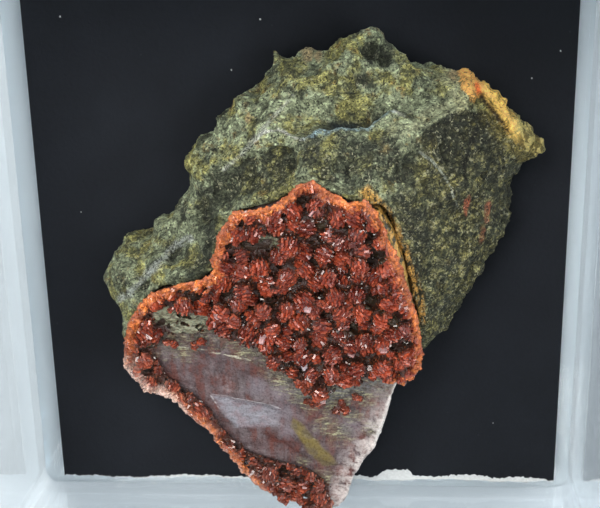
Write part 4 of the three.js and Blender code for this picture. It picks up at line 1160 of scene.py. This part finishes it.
def pale_vein():
    surface = Surface("pale vein")
    main = colours()
    x, y, _ = surface.parts(surface.place)
    ragged = surface.noise(0.8, 4.0, warp=(0.9, 0.3)) - 0.5
    cloud = surface.noise(2.0, 5.0, 0.65, warp=(2.5, 0.8))
    stripes = surface.noise(0.6, 4.0, 0.6, warp=(1.5, 0.25), stretch=(1.0, 0.16, 1.0))
    stain = surface.noise(1.3, 5.0, 0.68, warp=(1.5, 0.6))
    fibres = surface.noise(0.38, 4.0, 0.7, warp=(1.2, 0.3), stretch=(0.4, 1.9, 1.0))
    specks = surface.noise(0.3, 4.0, 0.7, warp=(0.4, 0.15))
    fine = surface.noise(0.2, 4.0, 0.7)
    surface.colour = surface.mix(cloud.fit(0.42, 0.62), main.vein_lavender, VEIN_CLOUD)
    surface.lay(main.vein_stain, stripes.fit(0.49, 0.57) * stain.fit(0.36, 0.52) * 0.7)
    reddish = surface.frayed("reddish", ragged * 2.0, 0.0, 0.8)
    surface.lay(main.vein_stain, reddish * stain.fit(0.4, 0.55) * 0.7)
    surface.lay(VEIN_GLOW, surface.frayed("pale_glow", ragged * 0.8, 0.05, 0.7) * 0.6)
    surface.lay(VEIN_STREAK, stripes.fit(0.45, 0.38) * 0.35)
    near_crust = surface.frayed("front_edge", ragged * 2.4, 2.0, 0.6)
    green = (near_crust * 0.6).most(surface.frayed("greenish", ragged * 2.0, 0.0, 0.8))
    surface.lay(VEIN_GREEN, green * 0.35)
    surface.lay(VEIN_BLUE, near_crust * x.fit(-0.5, 0.5) * stain.fit(0.6, 0.5) * 0.7)
    surface.lay(VEIN_FIBRE, green * fibres.fit(0.52, 0.6) * 0.85)
    surface.lay(VEIN_SPECK, near_crust * specks.fit(0.5, 0.56) * 0.75)
    near_right = surface.frayed("right_edge", ragged * 1.8, 2.0, 0.2) * y.fit(-10.5, -12.5, 0.25, 1.0)
    surface.lay(VEIN_RIGHT, near_right * stain.fit(0.6, 0.46) * 0.92)
    thin_edge = surface.frayed("right_edge", ragged * 0.6, 0.3, 0.1)
    surface.lay(VEIN_THIN_EDGE, thin_edge * y.fit(-16.0, -14.0, 0.2, 0.75))
    facet_colour = surface.mix(stain.fit(0.46, 0.6), main.vein_white, FACET_CLOUD)
    facet_colour = surface.dimmed(facet_colour, fibres.fit(0.35, 0.65, 0.8, 1.15))
    facet = surface.frayed("facet", ragged * 0.3, -0.08, 0.25) * x.fit(-0.9, -2.6, 0.35, 1.0)
    surface.lay(facet_colour, facet * 0.88)
    facet_edge = abs(surface.attribute("facet")).fit(0.09, 0.03) * y.fit(-12.0, -11.7)
    surface.lay(FACET_EDGE, facet_edge * fibres.fit(0.4, 0.6) * 0.6)
    blade_colour = surface.mix(stain.fit(0.42, 0.56), BLADE_YELLOW, BLADE_CLOUD)
    surface.lay(blade_colour, surface.frayed("blade", ragged * 0.6, -0.12, 0.15) * 0.9)
    top_step = surface.frayed("top_step", ragged * 0.3, 0.12, 0.04)
    surface.lay(VEIN_TOP_STEP_COLOUR, top_step * fibres.fit(0.42, 0.55) * 0.8)
    under = surface.attribute("under")
    # Painted shade on the vein under the crust, where it shows between the rosettes.
    surface.lay(VEIN_SHADE_UNDER_CRUST, under.fit(0.1, 0.6))
    olive = surface.mix(stain.fit(0.45, 0.6), VEIN_OLIVE, VEIN_OLIVE_DARK)
    surface.lay(olive, under.fit(0.1, -0.1) * y.fit(-5.5, -4.5) * x.fit(4.0, 5.0))
    lay_strip(surface, ragged)
    surface.dim(fine.fit(0.3, 0.7, 0.72, 1.28))
    return surface.finish(
        Roughness=fine.fit(0.3, 0.7, 0.2, 0.4),
        IOR=1.5,
        Subsurface_Weight=0.25,
        Subsurface_Radius=(1.0, 0.8, 0.8),
        Subsurface_Scale=0.5 * MM,
        Normal=surface.relief(fine * 0.6 + fibres * 0.5, 0.12, 0.8),
    )


# Red crystals


class BuildCrust(bpy.types.Operator):
    """The red crust: rosettes on the vein, and the crystal tablets that cover them"""

    bl_idname = "specimen.build_crust"
    bl_label = "Red crust"

    def execute(self, context):
        body = copy_of_node("red_crust", "crust")
        paint_map(body, depth_inside, {"edge": CRUST_OUTLINE})
        rosettes = rosette_places(body)
        lower_between(body)
        add_rosettes(body, rosettes)
        refine(body, sizes().crust_mesh, 1)
        paint_map(body, depth_inside, {"edge": CRUST_OUTLINE})
        paint_map(body, in_spots, {"window": CRUST_WINDOWS, "pit": CRUST_PITS})
        paint_rosettes(body, rosettes)
        roughen_crust(body)
        length = sizes().crystal_length
        crystals = grow_crystals(body, "crust_crystals", length, sizes().crystal_gap, CRYSTAL_SEED)
        add_pale_crystals(crystals, body)
        attach(body, crust_body(), "red_crystal", "red_crust")
        attach(crystals, red_crystal(), "red_crystal", smooth=False)
        return {"FINISHED"}


def rosette_places(body):
    """Rows of x, y, z and radius: the large rosettes, then ever smaller ones that still fit between."""
    random = np.random.default_rng(ROSETTE_SEED)
    low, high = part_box("red_crust")
    largest = sizes().rosette_radius / MM
    radii = np.linspace(largest, LEAST_TRIED * largest, ROSETTE_TRIES)
    tries = random.uniform(np.array(low[:2]) / MM, np.array(high[:2]) / MM, (ROSETTE_TRIES, 2))
    candidates = np.vstack([LARGE_ROSETTES, np.column_stack([tries, radii])])
    depths = np.minimum(depth_inside(candidates, CRUST_OUTLINE), under_crust(candidates) + ROSETTE_OVERHANG)
    bare = in_spots(candidates, CRUST_WINDOWS + CRUST_PITS)
    rosettes = []
    for (x, y, radius), depth, spot in zip(candidates, depths, bare):
        radius = min(radius, depth)
        if radius < LEAST_KEPT * largest or spot > BARE_LEVEL:
            continue
        if any(math.dist((x, y), other[:2]) < ROSETTE_SPACING * (radius + other[3]) for other in rosettes):
            continue
        place = seen_from_above(body, x, y)
        if place is not None:
            rosettes.append((x, y, place.z / MM - ROSETTE_SUNK * radius, radius))
    return np.array(rosettes)


def lower_between(body):
    """Sinks the crust's upper side behind its outer rim, so that the rosettes stand out of it."""
    growth = Growth("lower crust")
    inner = growth.attribute("edge").fit(0.0, 0.4)
    growth.apply(body, growth.raise_by(growth.mesh, growth.upwards(0.1, 0.6) * inner * -CRUST_SUNK))


def add_rosettes(body, rosettes):
    """Adds a ball to the crust for each rosette."""
    balls = bpy.data.meshes.new("balls")
    balls.from_pydata((rosettes[:, :3] * MM).tolist(), [], [])
    holder = new_piece("balls", balls)
    paint(holder, "size", rosettes[:, 3] * MM)
    growth = Growth("rosettes")
    ball = growth.output("GeometryNodeMeshIcoSphere", {"Radius": 1.0, "Subdivisions": 3})
    placed = growth.copies(growth.mesh, Instance=ball, Scale=growth.attribute("size"))
    growth.apply(holder, placed, realize=True)
    join(body, holder)


def paint_rosettes(body, rosettes):
    """Stores how far down its rosette's side each point lies, for the painted shade, and a tone for each
    rosette.
    """
    points = points_of(body)
    tones = np.random.default_rng(TONE_SEED).uniform(0.0, 1.0, len(rosettes))
    reach = np.full(len(points), np.inf)
    nearest = np.zeros(len(points), int)
    for number, (x, y, z, radius) in enumerate(rosettes):
        distance = np.linalg.norm(points - (x, y, z), axis=1) - radius
        closer = distance < reach
        reach[closer] = distance[closer]
        nearest[closer] = number
    radii = rosettes[nearest, 3]
    low = (rosettes[nearest, 2] + radii - points[:, 2]) / radii
    paint(body, "low", low + 1.5 * np.maximum(reach, 0.0))
    paint(body, "kind", tones[nearest])


def roughen_crust(body):
    """Small facets over the rosettes, pits between them and a fibrous outer rim."""
    growth = Growth("crust relief")
    rim = growth.attribute("edge").fit(0.8, 0.3)
    pit = growth.attribute("pit").fit(0.0, 0.6, smooth=True)
    window = growth.attribute("window").fit(0.0, 0.5, smooth=True)
    up = growth.upwards(0.0, 0.5)
    relief = growth.cells(0.42) * -0.22 + (growth.noise(0.5) - 0.5) * 0.3
    relief = relief + (growth.noise(0.35, warp=(0.5, 0.2)) - 0.5) * rim * 0.5
    relief = relief + pit * up * -0.7 + window * up * -0.45
    # The relief is kept for the painted shade in the crust's low places.
    kept = growth.keep(growth.mesh, "relief", relief)
    growth.apply(body, growth.raise_by(kept, relief))


def crystal_tablet(length, width=0.5):
    """One crystal: an upright plate that narrows upwards, standing on the origin with its foot sunk."""
    bpy.ops.mesh.primitive_cube_add(size=1.0, location=(0.0, 0.0, -length * 0.12))
    tablet = bpy.context.object
    tablet.name = "tablet"
    tablet.scale = (length * width, length * 1.15, length)
    place_in_mesh(tablet)
    bpy.ops.object.mode_set(mode="EDIT")
    bpy.ops.mesh.select_all(action="DESELECT")
    bpy.ops.object.mode_set(mode="OBJECT")
    for face in tablet.data.polygons:
        face.select = face.normal.z > 0.5
    bpy.ops.object.mode_set(mode="EDIT")
    bpy.ops.transform.resize(value=CRYSTAL_TAPER)
    bpy.ops.object.mode_set(mode="OBJECT")
    # The tip, where the finish paints light, and the foot, where it paints shade.
    paint(tablet, "tip", points_of(tablet)[:, 2] > 0.0)
    return tablet


def grow_crystals(body, name, length, gap, seed):
    """Crystal plates that stand on the body, side by side within each rosette, as a mesh of their own."""
    tablet = crystal_tablet(length)
    crystals = new_piece(name, body.data.copy())
    growth = Growth("crystals")
    window = growth.attribute("window").fit(0.0, 0.3, 1.0, 0.12)
    pit = growth.attribute("pit").fit(0.0, 0.3, 1.0, 0.5)
    share = growth.upwards(-0.25, 0.1) * window * pit
    inputs = {"Mesh": growth.mesh, "Distance Min": gap, "Density Max": CRYSTAL_DENSITY}
    inputs.update({"Density Factor": share, "Seed": seed})
    spread = growth.node("GeometryNodeDistributePointsOnFaces", inputs, distribute_method="POISSON")
    inputs = {"Vector": Value(growth, spread.outputs["Normal"])}
    upright = growth.output("FunctionNodeAlignRotationToVector", inputs, axis="Z")
    bearing = growth.attribute("kind") * (2.0 * math.pi)
    inputs = {0: growth.math("COSINE", bearing), 1: growth.math("SINE", bearing), 2: 0.4}
    inputs = {"Rotation": upright, "Vector": growth.output("ShaderNodeCombineXYZ", inputs)}
    aligned = growth.output("FunctionNodeAlignRotationToVector", inputs, axis="X", pivot_axis="Z")
    inputs = {0: -Vector(CRYSTAL_LEAN), 1: Vector(CRYSTAL_LEAN), "Seed": seed + 1}
    lean = growth.output("FunctionNodeRandomValue", inputs, data_type="FLOAT_VECTOR")
    turn = growth.output("FunctionNodeEulerToRotation", {0: lean})
    turned = growth.output("FunctionNodeRotateRotation", {0: aligned, 1: turn}, rotation_space="LOCAL")
    shape = growth.output("GeometryNodeObjectInfo", {"Object": tablet, "As Instance": True}, "Geometry")
    rim = growth.attribute("edge").fit(-0.1, 0.5, 0.5, 1.0)
    deep = growth.attribute("low").fit(0.4, 0.9, 1.0, 0.5)
    size = growth.chance(0.55, 1.25, seed + 2) * rim * deep
    placed = growth.copies(Value(growth, spread.outputs[0]), Instance=shape, Rotation=turned, Scale=size)
    toned = growth.keep(placed, "tone", growth.chance(0.0, 1.0, seed + 3), "INSTANCE")
    growth.apply(crystals, toned, realize=True)
    bpy.data.objects.remove(tablet)
    return crystals


def add_pale_crystals(crystals, body):
    """Adds single large crystals, nearly white, where they lie on the body."""
    blocks = []
    for x, y, length, width, turn, paleness in PALE_CRYSTALS:
        place = seen_from_above(body, x, y)
        if place is None:
            raise RuntimeError(f"the crust has no place for a crystal at {x}, {y}")
        block = crystal_tablet(length * MM, width)
        block.location = place + Vector((0.0, 0.0, 0.2 * length * MM))
        block.rotation_euler = (0.25, -0.2, math.radians(turn))
        place_in_mesh(block)
        paint_evenly(block, edge=WELL_INSIDE, low=0.2, kind=0.5, tone=0.7, pale=paleness)
        blocks.append(block)
    join(crystals, *blocks)


def crystal_surface(name):
    """The orange to dark red that the crust and its crystals share, with painted sheen, painted shade below
    and in pits, and bright on the rim.
    """
    surface = Surface(name)
    main = colours()
    x, y, _ = surface.parts(surface.place)
    shade = surface.noise(1.8, warp=(1.5, 0.5)) * 0.7 + surface.attribute("kind") * 0.3
    surface.colour = surface.mix(shade.fit(0.38, 0.62), main.crystal_red, CRYSTAL_DEEP_RED)
    # A painted pinkish-grey sheen, in patches.
    surface.lay(CRYSTAL_PURPLE_SHEEN, surface.noise(2.6, 3.0, 0.6).fit(0.5, 0.64) * 0.3)
    edge = surface.attribute("edge")
    # Painted shade low on the rosettes and between them, less towards the rim.
    surface.lay(CRYSTAL_FOOT_SHADE, surface.attribute("low").fit(0.3, 0.85) * edge.fit(0.3, 1.0, 0.2, 0.93))
    # Painted shade on the crystals in the pits.
    surface.lay(CRYSTAL_PIT_SHADE, surface.attribute("pit").fit(0.0, 0.5) * 0.8)
    ragged = surface.noise(0.6, 4.0, 0.65) - 0.5
    wide = x.fit(4.0, 7.0, 0.28, 0.5).most(x.fit(-1.5, -4.5, 0.28, 0.75)).most(y.fit(4.5, 7.5, 0.28, 0.6))
    rim = (edge + ragged * 2.0 - wide).fit(0.0, -0.2)
    grain = surface.noise(0.22, 3.0, 0.7).fit(0.35, 0.65, 0.6, 1.75)
    rim_colour = surface.mix(surface.noise(0.5).fit(0.42, 0.58), main.crystal_rim, RIM_RUST)
    rim = rim * surface.noise(2.0, 2.0).fit(0.42, 0.58, 0.45, 0.92)
    surface.lay(surface.dimmed(rim_colour, grain), rim)
    slant = y + x * 0.25
    surface.lay(CRYSTAL_LOWER, slant.fit(-6.6, -8.2) * 0.35)
    corner = (slant + ragged).fit(-9.4, -10.8) * x.fit(-8.0, -10.0, 0.45, 0.8)
    pink = (edge + ragged * 1.8 - x.fit(-8.0, -10.5, 0.35, 1.3)).fit(0.0, -0.9)
    surface.lay(surface.dimmed(RIM_PINK, grain), corner * pink)
    return surface


def crust_body():
    surface = crystal_surface("crust body")
    # Painted shade on the body inside the rim, where it shows between the crystals.
    surface.dim(1.0 - surface.attribute("edge").fit(0.4, 1.0, 0.0, 0.45))
    # Painted shade where the crust's relief is low.
    surface.lay(colours().crystal_shade, surface.attribute("relief").fit(-0.25, -0.02, 1.0, 0.0) * 0.4)
    fibres = surface.noise(0.4, 5.0, 0.7, warp=(1.0, 0.4), stretch=(0.7, 2.4, 1.0))
    window_colour = surface.mix(fibres.fit(0.44, 0.56), WINDOW_DARK, WINDOW_PALE)
    surface.lay(window_colour, surface.attribute("window").fit(-0.05, 0.25))
    # Painted shade in the crust's pits.
    surface.lay(CRUST_PIT_SHADE, surface.attribute("pit").fit(0.0, 0.4))
    return surface.finish(
        Roughness=0.4,
        Subsurface_Weight=0.1,
        Subsurface_Scale=0.3 * MM,
        Normal=surface.relief(surface.noise(0.12), 0.08),
    )


def red_crystal():
    surface = crystal_surface("red crystal")
    tone = surface.attribute("tone")
    tip = surface.attribute("tip")
    veil = surface.noise(0.15, 2.0)
    surface.dim(tone.fit(0.0, 1.0, 0.6, 1.35))
    # Painted shade at each plate's foot and painted light towards its tip, with an orange glow at the tip.
    surface.dim(tip.fit(0.4, 1.0, 0.65, 1.25))
    surface.lay(CRYSTAL_TIP_GLOW, tip.fit(0.75, 1.0) * tone.fit(0.2, 0.9) * 0.3)
    # Pinkish-grey crystals, a real tone that also stands in for a painted sheen.
    surface.lay(CRYSTAL_PINK_SHEEN, tone.fit(0.92, 1.0) * 0.25)
    surface.lay(CRYSTAL_PALE, surface.attribute("pale") * 0.92)
    surface.dim(veil.fit(0.3, 0.7, 0.65, 1.35))
    return surface.finish(
        Roughness=veil.fit(0.3, 0.7, 0.04, 0.2),
        IOR=1.5,
        Specular_IOR_Level=0.65,
        Subsurface_Weight=0.15,
        Subsurface_Radius=(1.0, 0.35, 0.2),
        Subsurface_Scale=0.25 * MM,
        Transmission_Weight=0.15,
        Normal=surface.relief(surface.noise(0.2, 2.0), 0.04, 0.6),
    )


class BuildClusters(bpy.types.Operator):
    """The small red clusters that stand on the vein by themselves"""

    bl_idname = "specimen.build_clusters"
    bl_label = "Red clusters"

    def execute(self, context):
        body_finish = crust_body()
        crystal_finish = red_crystal()
        length = 0.8 * sizes().crystal_length
        for number in range(1, CLUSTER_COUNT + 1):
            node = f"red_cluster_{number}"
            cluster = copy_of_node(node, f"cluster_{number}")
            refine(cluster, 0.6 * sizes().crust_mesh)
            paint_evenly(cluster, edge=WELL_INSIDE, window=-1.0, pit=-1.0, kind=0.3)
            # How far down each cluster a point lies, for the painted shade lower down.
            heights = points_of(cluster)[:, 2]
            top = heights.max()
            paint(cluster, "low", 0.3 + 0.8 * (top - heights) / (top - heights.min()))
            roughen_crust(cluster)
            seed = CLUSTER_SEED + number
            crystals = grow_crystals(cluster, f"crystals_{number}", length, CLUSTER_CRYSTAL_GAP * MM, seed)
            attach(cluster, body_finish, "red_crystal", node)
            attach(crystals, crystal_finish, "red_crystal", smooth=False)
        return {"FINISHED"}


BUILDERS = (BuildStage, BuildBox, BuildCard, BuildRock, BuildVein, BuildCrust, BuildClusters)


class SpecimenPanel(bpy.types.Panel):
    """Lists the builders with their sizes and colours"""

    bl_idname = "SPECIMEN_PT_builders"
    bl_label = "Specimen"
    bl_space_type = "VIEW_3D"
    bl_region_type = "UI"
    bl_category = "Specimen"

    def draw(self, context):
        for builder in BUILDERS:
            self.layout.operator(builder.bl_idname)
        for group in (context.scene.specimen_sizes, context.scene.specimen_colours):
            for name in group.__annotations__:
                self.layout.prop(group, name)


CLASSES = (SpecimenSizes, SpecimenColours, *BUILDERS, SpecimenPanel)


def register():
    for entry in CLASSES:
        bpy.utils.register_class(entry)
    bpy.types.Scene.specimen_sizes = bpy.props.PointerProperty(type=SpecimenSizes)
    bpy.types.Scene.specimen_colours = bpy.props.PointerProperty(type=SpecimenColours)


def unregister():
    del bpy.types.Scene.specimen_colours
    del bpy.types.Scene.specimen_sizes
    for entry in reversed(CLASSES):
        bpy.utils.unregister_class(entry)


def main():
    register()
    bpy.ops.specimen.build_stage()
    bpy.ops.specimen.build_box()
    bpy.ops.specimen.build_card()
    bpy.ops.specimen.build_rock()
    bpy.ops.specimen.build_vein()
    bpy.ops.specimen.build_crust()
    bpy.ops.specimen.build_clusters()
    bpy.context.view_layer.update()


if __name__ == "__main__":
    main()
